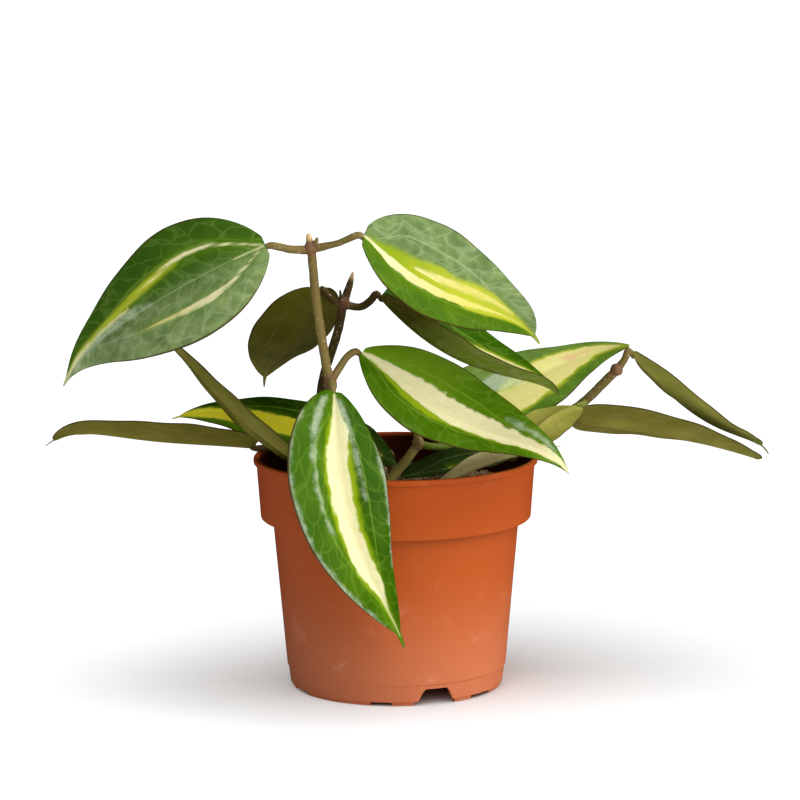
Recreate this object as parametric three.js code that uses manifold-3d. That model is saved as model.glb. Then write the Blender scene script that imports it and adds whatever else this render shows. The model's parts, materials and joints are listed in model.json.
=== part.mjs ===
// Potted waxplant with large center-variegated leaves, in a terracotta colored plastic
// nursery pot of 12 cm. Millimetres, +Z up. The front of the plant faces -Y.
import * as THREE from 'three';
import { mergeVertices } from 'three/addons/utils/BufferGeometryUtils.js';
import Module from 'manifold-3d';

const wasm = await Module();
wasm.setup();

// ---------------------------------------------------------------- driving dimensions

// The leaves reach further to the right than to the left and further forward than back,
// so the pot's axis stands off the middle of the plant's footprint, where the origin is.
const POT_X = -7.3;
const POT_Y = 3.3;

const RIM_RADIUS = 60;
const POT_HEIGHT = 98;
const LIP_HEIGHT = 2.4;
const LIP_OVERHANG = 1.2;
const WALL = 1.3;
const COLLAR_TOP_RADIUS = RIM_RADIUS - LIP_OVERHANG;
const COLLAR_BOTTOM_RADIUS = 57.1;
const COLLAR_BOTTOM = 72.2;
const BODY_TOP_RADIUS = 52.1;
const BASE_LINE_RADIUS = 46.4;
const BASE_LINE = 9.2;
const SKIRT_RADIUS = 45;
const SKIRT_BOTTOM = 1.7;
const FOOT_RADIUS = 44;
const FLOOR_THICKNESS = 1.6;
const POT_SIDES = 36;

// Feet and drainage notches repeat three times round the base. Angles are in degrees
// from the front, positive to the right.
const BASE_REPEATS = 3;
const FOOT_GAPS = [[-14.5, -2.5], [9.5, 33.5], [45, 62]];
const NOTCH_ANGLE = 21.5;
const NOTCH_TOP_WIDTH = 10.5;
const NOTCH_BOTTOM_WIDTH = 18.5;
const NOTCH_TOP = 7.2;
const DRAIN_HOLES = 6;
const DRAIN_RADIUS = 4;
const DRAIN_RING_RADIUS = 27;

const SOIL_LEVEL = 84;
const SOIL_MOUNDS = [
  { x: 43, y: -26, height: 5.5, spread: 13 },
  { x: -49, y: -8, height: 4.5, spread: 11 },
  { x: -30, y: -28, height: 2.5, spread: 16 },
];
const GAP = 0.35;

const STEM_RADIUS = 1.95;
const TWIG_RADIUS = 1.75;
const PETIOLE_RADIUS = 1.6;
const ROOTING_DEPTH = 18;
const PETIOLE_CLEARANCE = 2.2;

const BLADE_THICKNESS = 1.3;
const MARGIN_THICKNESS = 0.75;
const BLADE_STEPS = 12;
const BLADE_LANES = 6;
const BLADE_PUFF = 0.05;
const TIP_WIDTH = 0.07;
const TIP_FULLNESS = 0.12;
const MIN_HALF_WIDTH = 0.4;

// ---------------------------------------------------------------- leaves

// A leaf runs from its base to its tip. roll turns its upper face about that line from
// the highest side. width is the full width. baseFull and tipTaper shape the outline
// towards the base and the tip, and drip is the share of the length that is a thin
// point. bow, hook lift the midrib, and sway, bend push it sideways, as shares of the
// length. fold is the rise of each half in degrees, and twist turns the tip.
const LEAVES = {
  leaf_top_left: {
    base: [-51.2, -43, 193.2], tip: [-137.2, -32, 132.8], roll: -60, width: 51,
    baseFull: 0.66, tipTaper: 1.25, drip: 0.03, bow: 0.09, sway: 0.017,
    fold: 3.5, twist: 0, hook: -0.04, bend: 0.055, lean: 0.01,
  },
  leaf_top_right: {
    base: [-13.4, -44, 197.2], tip: [59.3, -49.7, 152.2], roll: 40, width: 46.8,
    baseFull: 0.56, tipTaper: 0.84, drip: 0.052, bow: -0.071, sway: -0.054,
    fold: 11.8, twist: 0, hook: -0.008, bend: -0.057, lean: -0.02,
  },
  leaf_front: {
    base: [-24.8, -55, 135.4], tip: [3.4, -63.8, 28.9], roll: 40, width: 44,
    baseFull: 0.685, tipTaper: 1.17, drip: 0.074, bow: 0.083, sway: 0.142,
    fold: 12, twist: 1.6, hook: 0.034, bend: -0.006, lean: 0.147,
  },
  leaf_center_right: {
    base: [-14.7, -38.3, 148.4], tip: [70.8, -65.8, 101.2], roll: 31, width: 43.3,
    baseFull: 0.74, tipTaper: 1.24, drip: 0.01, bow: -0.082, sway: -0.012,
    fold: 11, twist: -4, hook: 0.08, bend: 0.009, lean: -0.02,
  },
  leaf_folded_right: {
    base: [-6, 1.1, 167.1], tip: [69.9, 15.2, 120.3], roll: 10.4, width: 51,
    baseFull: 0.56, tipTaper: 1.1, drip: 0.027, bow: -0.087, sway: 0.017,
    fold: 30, twist: -11, hook: 0.062, bend: 0.055, lean: -0.027,
  },
  leaf_back_drooping: {
    base: [-31.2, 2.4, 169.2], tip: [-57.5, 66.8, 116.3], roll: 4.5, width: 35,
    baseFull: 0.46, tipTaper: 0.765, drip: 0.066, bow: -0.063, sway: -0.018,
    fold: 14.4, twist: 8.5, hook: 0.065, bend: -0.008, lean: -0.05,
  },
  leaf_far_right_upper: {
    base: [99.4, -3.5, 143.3], tip: [162, 45.8, 89.3], roll: 8.4, width: 38.8,
    baseFull: 0.72, tipTaper: 1, drip: 0.096, bow: -0.066, sway: 0.066,
    fold: 6.4, twist: -7, hook: 0.037, bend: 0, lean: 0.02,
  },
  leaf_far_right_lower: {
    base: [75.3, 6.2, 112], tip: [158.1, 45, 87.5], roll: -18.4, width: 41.2,
    baseFull: 0.34, tipTaper: 0.92, drip: 0, bow: -0.004, sway: 0.105,
    fold: 8, twist: 20, hook: -0.011, bend: 0.032, lean: -0.075,
  },
  leaf_right_back: {
    base: [78.1, -8.5, 119.6], tip: [48.7, -40, 106], roll: 167, width: 20.7,
    baseFull: 0.62, tipTaper: 0.54, drip: 0.03, bow: -0.062, sway: -0.051,
    fold: 3.3, twist: -4.5, hook: 0.027, bend: 0.026, lean: 0,
  },
  leaf_right_pale: {
    base: [15.2, 41.8, 102.4], tip: [104.1, 78.1, 132.9], roll: 29.5, width: 44.8,
    baseFull: 0.46, tipTaper: 1.07, drip: 0, bow: -0.019, sway: -0.057,
    fold: 2.8, twist: -1.4, hook: -0.031, bend: -0.051, lean: 0.066,
  },
  leaf_left_rising: {
    base: [-32.4, -37, 98], tip: [-99.1, -13.5, 152.3], roll: 30.6, width: 44.7,
    baseFull: 0.47, tipTaper: 0.78, drip: 0.06, bow: -0.036, sway: 0.024,
    fold: 0.3, twist: 5.4, hook: 0.025, bend: -0.004, lean: -0.03,
  },
  leaf_left_low: {
    base: [-58.5, 8, 101.4], tip: [-148, -5.1, 103], roll: 20.5, width: 40,
    baseFull: 0.42, tipTaper: 0.58, drip: 0.046, bow: 0.011, sway: -0.055,
    fold: 11.2, twist: 5, hook: 0.045, bend: -0.053, lean: 0.11,
  },
  leaf_left_inner: {
    base: [-10, 31.3, 91.8], tip: [-97, 34, 108.1], roll: -18.7, width: 45,
    baseFull: 0.47, tipTaper: 0.96, drip: 0.044, bow: 0.076, sway: 0.019,
    fold: 2.8, twist: 3.2, hook: 0.015, bend: 0.015, lean: -0.02,
  },
  leaf_inner_small: {
    base: [-34.5, -9.5, 115.5], tip: [1.5, -14, 96.3], roll: 30, width: 24,
    baseFull: 0.58, tipTaper: 0.79, drip: 0.04, bow: 0.028, sway: 0.049,
    fold: 8, twist: 0, hook: 0, bend: 0, lean: 0,
  },
  leaf_inner_dark: {
    base: [50.2, 15, 95.3], tip: [1, -25, 92.7], roll: -7, width: 24,
    baseFull: 0.55, tipTaper: 0.8, drip: 0.02, bow: 0.01, sway: -0.05,
    fold: 8, twist: 0, hook: 0, bend: 0, lean: 0.35,
  },
  leaf_rim_right: {
    base: [14, -40, 91.4], tip: [70.6, 2, 101.3], roll: -32, width: 22,
    baseFull: 0.55, tipTaper: 0.9, drip: 0.05, bow: 0.04, sway: 0,
    fold: 8, twist: 0, hook: 0, bend: 0, lean: 0.4,
  },
};

const LEAF_GREEN = 0x4f8a1d;
const LEAF_DULL = 0x66682f;

// ---------------------------------------------------------------- stems

// Each stem is one piece: its own tubes, the stalks of its leaves, its knots and buds.
const STEMS = {
  stem_front: {
    foot: [-31, -30],
    tubes: [
      { radius: STEM_RADIUS, points: [[-30, -34, 98], [-27.5, -42, 120], [-26.5, -46, 136.4]] },
      {
        radius: STEM_RADIUS,
        points: [[-26.5, -46, 136.4], [-29.7, -43.5, 153], [-32.3, -41, 172], [-34.1, -38, 191]],
      },
      {
        radius: PETIOLE_RADIUS,
        points: [[-26.5, -46, 136.6], [-22.5, -42, 142.5], [-19.5, -39.3, 146.3]],
        leaf: 'leaf_center_right',
      },
      { radius: PETIOLE_RADIUS, points: [[-26.5, -46, 136.6], [-26, -50, 137]], leaf: 'leaf_front' },
      { radius: PETIOLE_RADIUS, points: [[-30.3, -33, 93], [-31.2, -34.5, 95]], leaf: 'leaf_left_rising' },
      { radius: PETIOLE_RADIUS, points: [[-34.1, -38, 190.3], [-42, -40, 190.6]], leaf: 'leaf_top_left' },
      { radius: PETIOLE_RADIUS, points: [[-34.1, -38, 190.6], [-23, -41, 193]], leaf: 'leaf_top_right' },
    ],
    knots: [
      { at: [-26.5, -46, 136.4], radius: 2.9, stretch: 1.25 },
      { at: [-30.3, -32.8, 93.5], radius: 2.5, stretch: 1.2 },
      { at: [-34.1, -38, 191], radius: 3, stretch: 1.2 },
      { at: [-34.9, -38, 195], radius: 1.3, stretch: 1.9 },
    ],
  },
  stem_back: {
    foot: [-27.5, 6],
    tubes: [
      {
        radius: STEM_RADIUS,
        points: [[-29.5, 4.5, 98], [-31.5, 3, 114], [-30.5, 2, 130], [-24.5, 3.5, 149], [-21.5, 4, 162.5]],
      },
      { radius: TWIG_RADIUS, points: [[-21.5, 4, 162.5], [-19, 4.7, 170], [-17.6, 5, 174.5]] },
      { radius: 0.9, points: [[-22.6, 2.5, 163], [-22.9, 0.5, 168]] },
      {
        radius: PETIOLE_RADIUS,
        points: [[-21.5, 4, 162], [-25, 3.2, 163.2], [-28.5, 2.4, 166]],
        leaf: 'leaf_back_drooping',
      },
      {
        radius: PETIOLE_RADIUS,
        points: [[-21.5, 4, 162], [-15, 4, 160.8], [-10.5, 3, 162.3], [-7.5, 2, 164.6]],
        leaf: 'leaf_folded_right',
      },
      { radius: PETIOLE_RADIUS, points: [[-31.5, 3, 114], [-34, -2, 115.5]], leaf: 'leaf_inner_small' },
      {
        radius: PETIOLE_RADIUS,
        points: [[-29.5, 4.5, 97.5], [-38, 5.5, 99], [-49, 7, 100.2]],
        leaf: 'leaf_left_low',
      },
    ],
    knots: [
      { at: [-21.5, 4, 162.3], radius: 2.9, stretch: 1.2 },
      { at: [-31.5, 3, 114], radius: 2.6, stretch: 1.2 },
      { at: [-29.5, 4.5, 98], radius: 2.6, stretch: 1.2 },
    ],
  },
  stem_right: {
    foot: [20, 26],
    tubes: [
      {
        radius: STEM_RADIUS,
        points: [
          [21, 25.5, 90], [34, 22, 98.6], [50, 11.5, 104.2],
          [62, 2, 108.5], [77, -3, 119], [92.7, -5, 134.6],
        ],
      },
      { radius: PETIOLE_RADIUS, points: [[92.7, -5, 134.6], [97, -5, 138.2], [101, -5, 139.6]] },
      { radius: PETIOLE_RADIUS, points: [[77, -3, 118.6], [78.8, -4, 121]], leaf: 'leaf_right_back' },
      { radius: PETIOLE_RADIUS, points: [[68.5, -0.6, 112], [70.5, 5, 112]], leaf: 'leaf_far_right_lower' },
      {
        radius: PETIOLE_RADIUS,
        points: [[56, 6.5, 105.8], [56.5, 14, 102], [54, 18.5, 99]],
        leaf: 'leaf_inner_dark',
      },
    ],
    knots: [
      { at: [75.5, -3, 117.5], radius: 2.5, stretch: 1 },
      { at: [93, -5, 135], radius: 2.8, stretch: 1 },
    ],
  },
  stem_short: {
    foot: [-5.5, -22.5],
    tubes: [
      { radius: STEM_RADIUS, points: [[-4.5, -22, 89], [-0.5, -22, 94], [5, -22, 100.5], [9.5, -22, 107]] },
      { radius: TWIG_RADIUS, points: [[9.5, -22, 107], [9.3, -20, 112], [10.5, -17, 117]] },
      { radius: TWIG_RADIUS, points: [[9.5, -22, 107], [15, -20, 105.3], [22, -14, 104.6], [24, -2, 105]] },
      {
        radius: PETIOLE_RADIUS,
        points: [[24, -2, 105], [17, 18, 104], [11.5, 29.5, 103]],
        leaf: 'leaf_right_pale',
      },
      {
        radius: PETIOLE_RADIUS,
        points: [[-4.5, -22, 88.5], [2, -36, 88.5], [8, -43, 89.6]],
        leaf: 'leaf_rim_right',
      },
    ],
    knots: [
      { at: [9.5, -22, 107], radius: 2.6, stretch: 1.2 },
      { at: [24, -2, 105], radius: 2.4, stretch: 1 },
    ],
  },
  stem_rear: {
    foot: [-1.5, 33],
    tubes: [
      { radius: STEM_RADIUS, points: [[-2, 33, 88], [-3, 32.5, 92.5]] },
      { radius: PETIOLE_RADIUS, points: [[-3, 32.5, 91.5], [-6, 31.8, 91.6]], leaf: 'leaf_left_inner' },
    ],
    knots: [{ at: [-3, 32.5, 92], radius: 2.5, stretch: 1.3 }],
  },
};

// ---------------------------------------------------------------- helpers

const vector = (point) => new THREE.Vector3(...point);
const radians = THREE.MathUtils.degToRad;

function toSolid(geometry) {
  const bare = geometry.clone();
  bare.deleteAttribute('normal');
  bare.deleteAttribute('uv');
  const merged = mergeVertices(bare, 1e-4);
  return new wasm.Manifold(new wasm.Mesh({
    numProp: 3,
    vertProperties: new Float32Array(merged.attributes.position.array),
    triVerts: new Uint32Array(merged.index.array),
  }));
}

function toGeometry(solid) {
  const mesh = solid.getMesh();
  const geometry = new THREE.BufferGeometry();
  geometry.setAttribute('position', new THREE.BufferAttribute(new Float32Array(mesh.vertProperties), 3));
  geometry.setIndex(new THREE.BufferAttribute(new Uint32Array(mesh.triVerts), 1));
  geometry.computeVertexNormals();
  return geometry;
}

function disc(radius, sides) {
  const shape = new THREE.Shape();
  for (let i = 0; i < sides; i += 1) {
    const angle = (2 * Math.PI * i) / sides;
    const x = radius * Math.cos(angle);
    const y = radius * Math.sin(angle);
    if (i === 0) shape.moveTo(x, y);
    else shape.lineTo(x, y);
  }
  shape.closePath();
  return shape;
}

function tube(points, radius, sides = 8) {
  const path = new THREE.CatmullRomCurve3(points.map(vector), false, 'centripetal');
  const steps = Math.max(2, Math.round(path.getLength() / 9));
  return new THREE.ExtrudeGeometry(disc(radius, sides), { steps, extrudePath: path });
}

// A point at a radius and an angle from the front, positive to the right.
function aroundBase(radius, angle) {
  const a = radians(angle);
  return [radius * Math.sin(a), -radius * Math.cos(a)];
}

// ---------------------------------------------------------------- pot

function potShell() {
  const floorTop = BASE_LINE;
  const floorBottom = BASE_LINE - FLOOR_THICKNESS;
  const profile = [
    [0, floorBottom],
    [SKIRT_RADIUS - 1.2, floorBottom],
    [FOOT_RADIUS - 1.6, SKIRT_BOTTOM],
    [FOOT_RADIUS - 1.7, 0],
    [FOOT_RADIUS - 0.1, 0],
    [FOOT_RADIUS, SKIRT_BOTTOM],
    [SKIRT_RADIUS, SKIRT_BOTTOM],
    [BASE_LINE_RADIUS - 0.4, BASE_LINE - 0.3],
    [BASE_LINE_RADIUS, BASE_LINE],
    [BODY_TOP_RADIUS, COLLAR_BOTTOM],
    [COLLAR_BOTTOM_RADIUS - 0.4, COLLAR_BOTTOM],
    [COLLAR_BOTTOM_RADIUS, COLLAR_BOTTOM + 0.5],
    [COLLAR_TOP_RADIUS, POT_HEIGHT - LIP_HEIGHT],
    [RIM_RADIUS - 0.3, POT_HEIGHT - LIP_HEIGHT],
    [RIM_RADIUS, POT_HEIGHT - LIP_HEIGHT + 0.4],
    [RIM_RADIUS, POT_HEIGHT - 0.7],
    [RIM_RADIUS - 0.6, POT_HEIGHT],
    [RIM_RADIUS - WALL - 0.5, POT_HEIGHT],
    [COLLAR_TOP_RADIUS - WALL, POT_HEIGHT - LIP_HEIGHT],
    [COLLAR_BOTTOM_RADIUS - WALL, COLLAR_BOTTOM + WALL],
    [BODY_TOP_RADIUS - WALL, COLLAR_BOTTOM - 1],
    [BASE_LINE_RADIUS - WALL, floorTop],
    [0, floorTop],
  ];
  const points = profile.map(([r, z]) => new THREE.Vector2(r, z));
  return new THREE.LatheGeometry(points, POT_SIDES).rotateX(Math.PI / 2);
}

// A block across the foot ring, between two angles, that clears it up to the skirt.
function footGap(from, to) {
  const outline = [
    aroundBase(38, from), aroundBase(50, from), aroundBase(51, (from + to) / 2),
    aroundBase(50, to), aroundBase(38, to),
  ];
  const shape = new THREE.Shape(outline.map(([x, y]) => new THREE.Vector2(x, y)));
  const block = new THREE.ExtrudeGeometry(shape, { depth: SKIRT_BOTTOM + 1, bevelEnabled: false });
  return block.translate(0, 0, -1);
}

function notch(angle) {
  const shape = new THREE.Shape();
  shape.moveTo(-NOTCH_BOTTOM_WIDTH / 2, -1);
  shape.lineTo(NOTCH_BOTTOM_WIDTH / 2, -1);
  shape.lineTo(NOTCH_TOP_WIDTH / 2, NOTCH_TOP);
  shape.lineTo(-NOTCH_TOP_WIDTH / 2, NOTCH_TOP);
  shape.closePath();
  const block = new THREE.ExtrudeGeometry(shape, { depth: 12, bevelEnabled: false });
  return block.rotateX(Math.PI / 2).translate(0, -38, 0).rotateZ(radians(angle));
}

function drain(radius, x, y) {
  const block = new THREE.ExtrudeGeometry(disc(radius, 16), { depth: 6, bevelEnabled: false });
  return block.translate(x, y, BASE_LINE - 4);
}

function makePot() {
  let solid = toSolid(potShell());
  for (let i = 0; i < BASE_REPEATS; i += 1) {
    const turn = (360 / BASE_REPEATS) * i;
    for (const [from, to] of FOOT_GAPS) {
      solid = solid.subtract(toSolid(footGap(from + turn, to + turn)));
    }
    solid = solid.subtract(toSolid(notch(NOTCH_ANGLE + turn)));
  }
  solid = solid.subtract(toSolid(drain(DRAIN_RADIUS, 0, 0)));
  for (let i = 0; i < DRAIN_HOLES; i += 1) {
    const [x, y] = aroundBase(DRAIN_RING_RADIUS, (360 / DRAIN_HOLES) * i);
    solid = solid.subtract(toSolid(drain(DRAIN_RADIUS, x, y)));
  }
  return toGeometry(solid);
}

// ---------------------------------------------------------------- soil

function soilHeight(x, y) {
  let z = SOIL_LEVEL + 0.9 * Math.sin(x / 7 + 1) * Math.cos(y / 8) + 0.5 * Math.sin(x / 3.1 + 2 + y / 4);
  for (const mound of SOIL_MOUNDS) {
    const distance = Math.hypot(x - mound.x, y - mound.y) / mound.spread;
    z += mound.height * Math.exp(-distance * distance);
  }
  return z;
}

function innerWallRadius(z) {
  const share = (z - BASE_LINE) / (COLLAR_BOTTOM - 1 - BASE_LINE);
  if (share <= 1) return THREE.MathUtils.lerp(BASE_LINE_RADIUS, BODY_TOP_RADIUS, share) - WALL;
  const upper = Math.max(0, (z - COLLAR_BOTTOM - WALL) / (POT_HEIGHT - LIP_HEIGHT - COLLAR_BOTTOM - WALL));
  return THREE.MathUtils.lerp(COLLAR_BOTTOM_RADIUS, COLLAR_TOP_RADIUS, upper) - WALL;
}

function makeSoil(stemHoles) {
  const sides = 36;
  const rings = 6;
  const wallStops = [BASE_LINE + GAP, COLLAR_BOTTOM - 1, COLLAR_BOTTOM + WALL + GAP];
  const vertices = [];
  const triangles = [];
  const ring = (radiusAt, heightAt) => {
    const start = vertices.length / 3;
    for (let i = 0; i < sides; i += 1) {
      const angle = (2 * Math.PI * i) / sides;
      const r = radiusAt(angle);
      const x = r * Math.cos(angle);
      const y = r * Math.sin(angle);
      vertices.push(x, y, heightAt(x, y));
    }
    return start;
  };
  const starts = [];
  // The corners of this ring touch the round wall, so it keeps the gap at its corners.
  for (const z of wallStops) starts.push(ring(() => innerWallRadius(z) - GAP, () => z));
  const topRadius = innerWallRadius(SOIL_LEVEL) - GAP;
  for (let i = rings; i > 0; i -= 1) {
    const r = (topRadius * i) / rings;
    starts.push(ring(() => r, soilHeight));
  }
  for (let k = 0; k + 1 < starts.length; k += 1) {
    for (let i = 0; i < sides; i += 1) {
      const j = (i + 1) % sides;
      const a = starts[k] + i;
      const b = starts[k] + j;
      const c = starts[k + 1] + i;
      const d = starts[k + 1] + j;
      triangles.push(a, b, d, a, d, c);
    }
  }
  const top = vertices.length / 3;
  vertices.push(0, 0, soilHeight(0, 0));
  const bottom = top + 1;
  vertices.push(0, 0, wallStops[0]);
  for (let i = 0; i < sides; i += 1) {
    const j = (i + 1) % sides;
    const last = starts[starts.length - 1];
    triangles.push(last + i, last + j, top);
    triangles.push(starts[0] + j, starts[0] + i, bottom);
  }
  const geometry = new THREE.BufferGeometry();
  geometry.setAttribute('position', new THREE.Float32BufferAttribute(vertices, 3));
  geometry.setIndex(triangles);
  let solid = toSolid(geometry);
  for (const hole of stemHoles) solid = solid.subtract(toSolid(hole));
  return toGeometry(solid);
}

// ---------------------------------------------------------------- leaf blades

function leafFrame(leaf) {
  const base = vector(leaf.base);
  const along = vector(leaf.tip).sub(base);
  const length = along.length();
  const e = along.clone().normalize();
  const up = new THREE.Vector3(0, 0, 1).addScaledVector(e, -e.z).normalize();
  const side = new THREE.Vector3().crossVectors(e, up);
  const roll = radians(leaf.roll);
  const n = up.clone().multiplyScalar(Math.cos(roll)).addScaledVector(side, Math.sin(roll));
  const s = side.clone().multiplyScalar(Math.cos(roll)).addScaledVector(up, -Math.sin(roll));
  const midrib = (t) => {
    const arc = 4 * t * (1 - t) * length;
    const end = (t ** 5 * (1 - t) * length) / 0.067;
    return base.clone().addScaledVector(along, t)
      .addScaledVector(n, leaf.bow * arc + leaf.hook * end)
      .addScaledVector(s, leaf.sway * arc + leaf.bend * end);
  };
  return { n, s, midrib };
}

function halfWidth(leaf, t) {
  const widest = leaf.baseFull / (leaf.baseFull + leaf.tipTaper);
  const inBody = Math.min(t / (1 - leaf.drip), 1);
  const body = (inBody / widest) ** leaf.baseFull * ((1 - inBody) / (1 - widest)) ** leaf.tipTaper;
  const full = TIP_WIDTH * Math.min(3 * t, 1) + TIP_FULLNESS * THREE.MathUtils.smoothstep(t, 0.72, 0.92);
  const point = full * Math.sqrt(Math.max(1 - t, 0));
  return Math.max((leaf.width / 2) * (body + point), MIN_HALF_WIDTH);
}

function makeBlade(leaf) {
  const { n, s, midrib } = leafFrame(leaf);
  const upper = [];
  const lower = [];
  for (let i = 0; i <= BLADE_STEPS; i += 1) {
    const even = i / BLADE_STEPS;
    const eased = 0.5 - 0.5 * Math.cos(Math.PI * even);
    const t = THREE.MathUtils.lerp(0.012, 0.994, 0.5 * (even + eased));
    const tangent = midrib(t + 0.01).sub(midrib(t - 0.01)).normalize();
    const turn = radians(leaf.twist) * (t - 0.4);
    const across = s.clone().multiplyScalar(Math.cos(turn)).addScaledVector(n, -Math.sin(turn));
    across.addScaledVector(tangent, -across.dot(tangent)).normalize();
    const normal = new THREE.Vector3().crossVectors(across, tangent);
    const w = halfWidth(leaf, t);
    for (let j = 0; j <= BLADE_LANES; j += 1) {
      const u = (2 * j) / BLADE_LANES - 1;
      const lean = 1 + Math.sign(u) * leaf.lean;
      const reach = w * lean * Math.abs(u);
      const puff = BLADE_PUFF * w * 4 * Math.abs(u) * (1 - Math.abs(u));
      const lift = reach * Math.sin(radians(leaf.fold)) + puff;
      const thickness = THREE.MathUtils.lerp(BLADE_THICKNESS, MARGIN_THICKNESS, u * u);
      const point = midrib(t)
        .addScaledVector(across, Math.sign(u) * reach * Math.cos(radians(leaf.fold)))
        .addScaledVector(normal, lift);
      upper.push(point.clone().addScaledVector(normal, thickness / 2));
      lower.push(point.clone().addScaledVector(normal, -thickness / 2));
    }
  }
  const row = BLADE_LANES + 1;
  const count = upper.length;
  const triangles = [];
  for (let i = 0; i < BLADE_STEPS; i += 1) {
    for (let j = 0; j < BLADE_LANES; j += 1) {
      const a = i * row + j;
      const b = a + 1;
      const c = a + row;
      const d = c + 1;
      triangles.push(a, b, c, b, d, c);
      triangles.push(count + a, count + c, count + b, count + b, count + c, count + d);
    }
  }
  const rim = [];
  for (let j = 0; j < BLADE_LANES; j += 1) rim.push(j);
  for (let i = 0; i < BLADE_STEPS; i += 1) rim.push(i * row + BLADE_LANES);
  for (let j = BLADE_LANES; j > 0; j -= 1) rim.push(BLADE_STEPS * row + j);
  for (let i = BLADE_STEPS; i > 0; i -= 1) rim.push(i * row);
  rim.forEach((a, k) => {
    const b = rim[(k + 1) % rim.length];
    triangles.push(a, count + a, count + b, a, count + b, b);
  });
  const geometry = new THREE.BufferGeometry();
  const positions = [...upper, ...lower].flatMap((p) => [p.x, p.y, p.z]);
  geometry.setAttribute('position', new THREE.Float32BufferAttribute(positions, 3));
  geometry.setIndex(triangles);
  geometry.computeVertexNormals();
  return geometry;
}

// ---------------------------------------------------------------- stem pieces

// The end of a leaf stalk, just short of the blade that it carries.
function stalkEnd(name, from) {
  const { midrib } = leafFrame(LEAVES[name]);
  const end = midrib(0.012);
  const reach = end.clone().sub(vector(from));
  return end.sub(reach.setLength(PETIOLE_CLEARANCE)).toArray();
}

// The stretch of a stem in the soil, or with a larger radius and depth the hole it stands in.
function stemRoot(stem, radius, depth) {
  const [x, y] = stem.foot;
  const first = stem.tubes[0].points[0];
  const level = soilHeight(x, y);
  return tube([[x, y, level - depth], [x, y, level + 1], first], radius);
}

function knotShape({ at, radius, stretch }) {
  return new THREE.SphereGeometry(radius, 8, 6).rotateX(Math.PI / 2).scale(1, 1, stretch).translate(...at);
}

function makeStem(stem) {
  let solid = toSolid(stemRoot(stem, STEM_RADIUS, ROOTING_DEPTH));
  for (const part of stem.tubes) {
    const points = [...part.points];
    if (part.leaf) points.push(stalkEnd(part.leaf, points[points.length - 1]));
    solid = solid.add(toSolid(tube(points, part.radius)));
  }
  for (const knot of stem.knots) solid = solid.add(toSolid(knotShape(knot)));
  return toGeometry(solid);
}

// ---------------------------------------------------------------- assembly

const plant = new THREE.Group();
plant.position.set(POT_X, POT_Y, 0);

function addPiece(name, geometry, color, roughness) {
  const material = new THREE.MeshStandardMaterial({ color, roughness, metalness: 0 });
  const mesh = new THREE.Mesh(geometry, material);
  mesh.name = name;
  plant.add(mesh);
}

addPiece('pot', makePot(), 0xb95a30, 0.45);
const holes = Object.values(STEMS).map((stem) => stemRoot(stem, STEM_RADIUS + GAP, ROOTING_DEPTH + GAP));
addPiece('soil', makeSoil(holes), 0x2a1a12, 0.95);
for (const [name, stem] of Object.entries(STEMS)) addPiece(name, makeStem(stem), 0x6b5a34, 0.6);
for (const [name, leaf] of Object.entries(LEAVES)) {
  const under = name.includes('far') || name.includes('back');
  addPiece(name, makeBlade(leaf), under ? LEAF_DULL : LEAF_GREEN, 0.4);
}

export default plant;
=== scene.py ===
"""Looks of a potted, center-variegated waxplant in a terracotta colored nursery pot.

Lengths in the tables are millimetres, and places are measured from the pot's axis on
the floor. Everything that is built is in metres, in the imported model's frame.
"""
import json
import math

import bpy
import numpy as np
from mathutils import Matrix, Vector, noise

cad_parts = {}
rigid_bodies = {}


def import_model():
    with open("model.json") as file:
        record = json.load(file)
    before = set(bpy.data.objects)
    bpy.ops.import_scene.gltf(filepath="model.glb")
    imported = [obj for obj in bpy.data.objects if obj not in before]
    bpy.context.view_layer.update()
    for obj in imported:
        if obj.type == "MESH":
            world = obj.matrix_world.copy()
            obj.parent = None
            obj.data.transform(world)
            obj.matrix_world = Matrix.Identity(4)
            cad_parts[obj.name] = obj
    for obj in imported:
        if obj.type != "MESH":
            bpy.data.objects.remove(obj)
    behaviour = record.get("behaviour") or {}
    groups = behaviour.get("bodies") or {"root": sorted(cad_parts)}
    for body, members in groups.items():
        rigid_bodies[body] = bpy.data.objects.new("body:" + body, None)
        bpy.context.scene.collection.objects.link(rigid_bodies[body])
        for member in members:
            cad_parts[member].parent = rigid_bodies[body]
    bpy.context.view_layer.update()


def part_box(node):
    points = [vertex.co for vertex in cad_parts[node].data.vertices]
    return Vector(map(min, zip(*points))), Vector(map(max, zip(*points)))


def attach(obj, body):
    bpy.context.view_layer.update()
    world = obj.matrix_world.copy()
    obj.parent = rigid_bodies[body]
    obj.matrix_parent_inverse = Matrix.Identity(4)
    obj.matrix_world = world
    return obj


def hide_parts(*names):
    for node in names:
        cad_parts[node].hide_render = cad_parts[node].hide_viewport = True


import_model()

LOW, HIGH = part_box("pot")
AXIS = np.array([(LOW.x + HIGH.x) / 2, (LOW.y + HIGH.y) / 2, 0.0])
MM = 0.001
SEED = 17
RNG = np.random.default_rng(SEED)
noise.seed_set(SEED)


def place(points):
    """Millimetres from the pot's axis to metres in the frame."""
    return np.asarray(points, float) * MM + AXIS


def linear(r, g, b):
    """A display color, 0 to 255, as the linear RGBA that a shader takes."""
    out = []
    for c in (r, g, b):
        c = c / 255
        out.append(c / 12.92 if c <= 0.04045 else ((c + 0.055) / 1.055) ** 2.4)
    return (*out, 1.0)


# ---------------------------------------------------------------- camera

IMAGE_PIXELS = 800
FOCAL_PIXELS = 3915
SENSOR = 36
CAMERA_AT = (2.0, -1628.4, 387.8)
PITCH = 9.28
ROLL = -0.27
VIEW_END = 20


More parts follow.
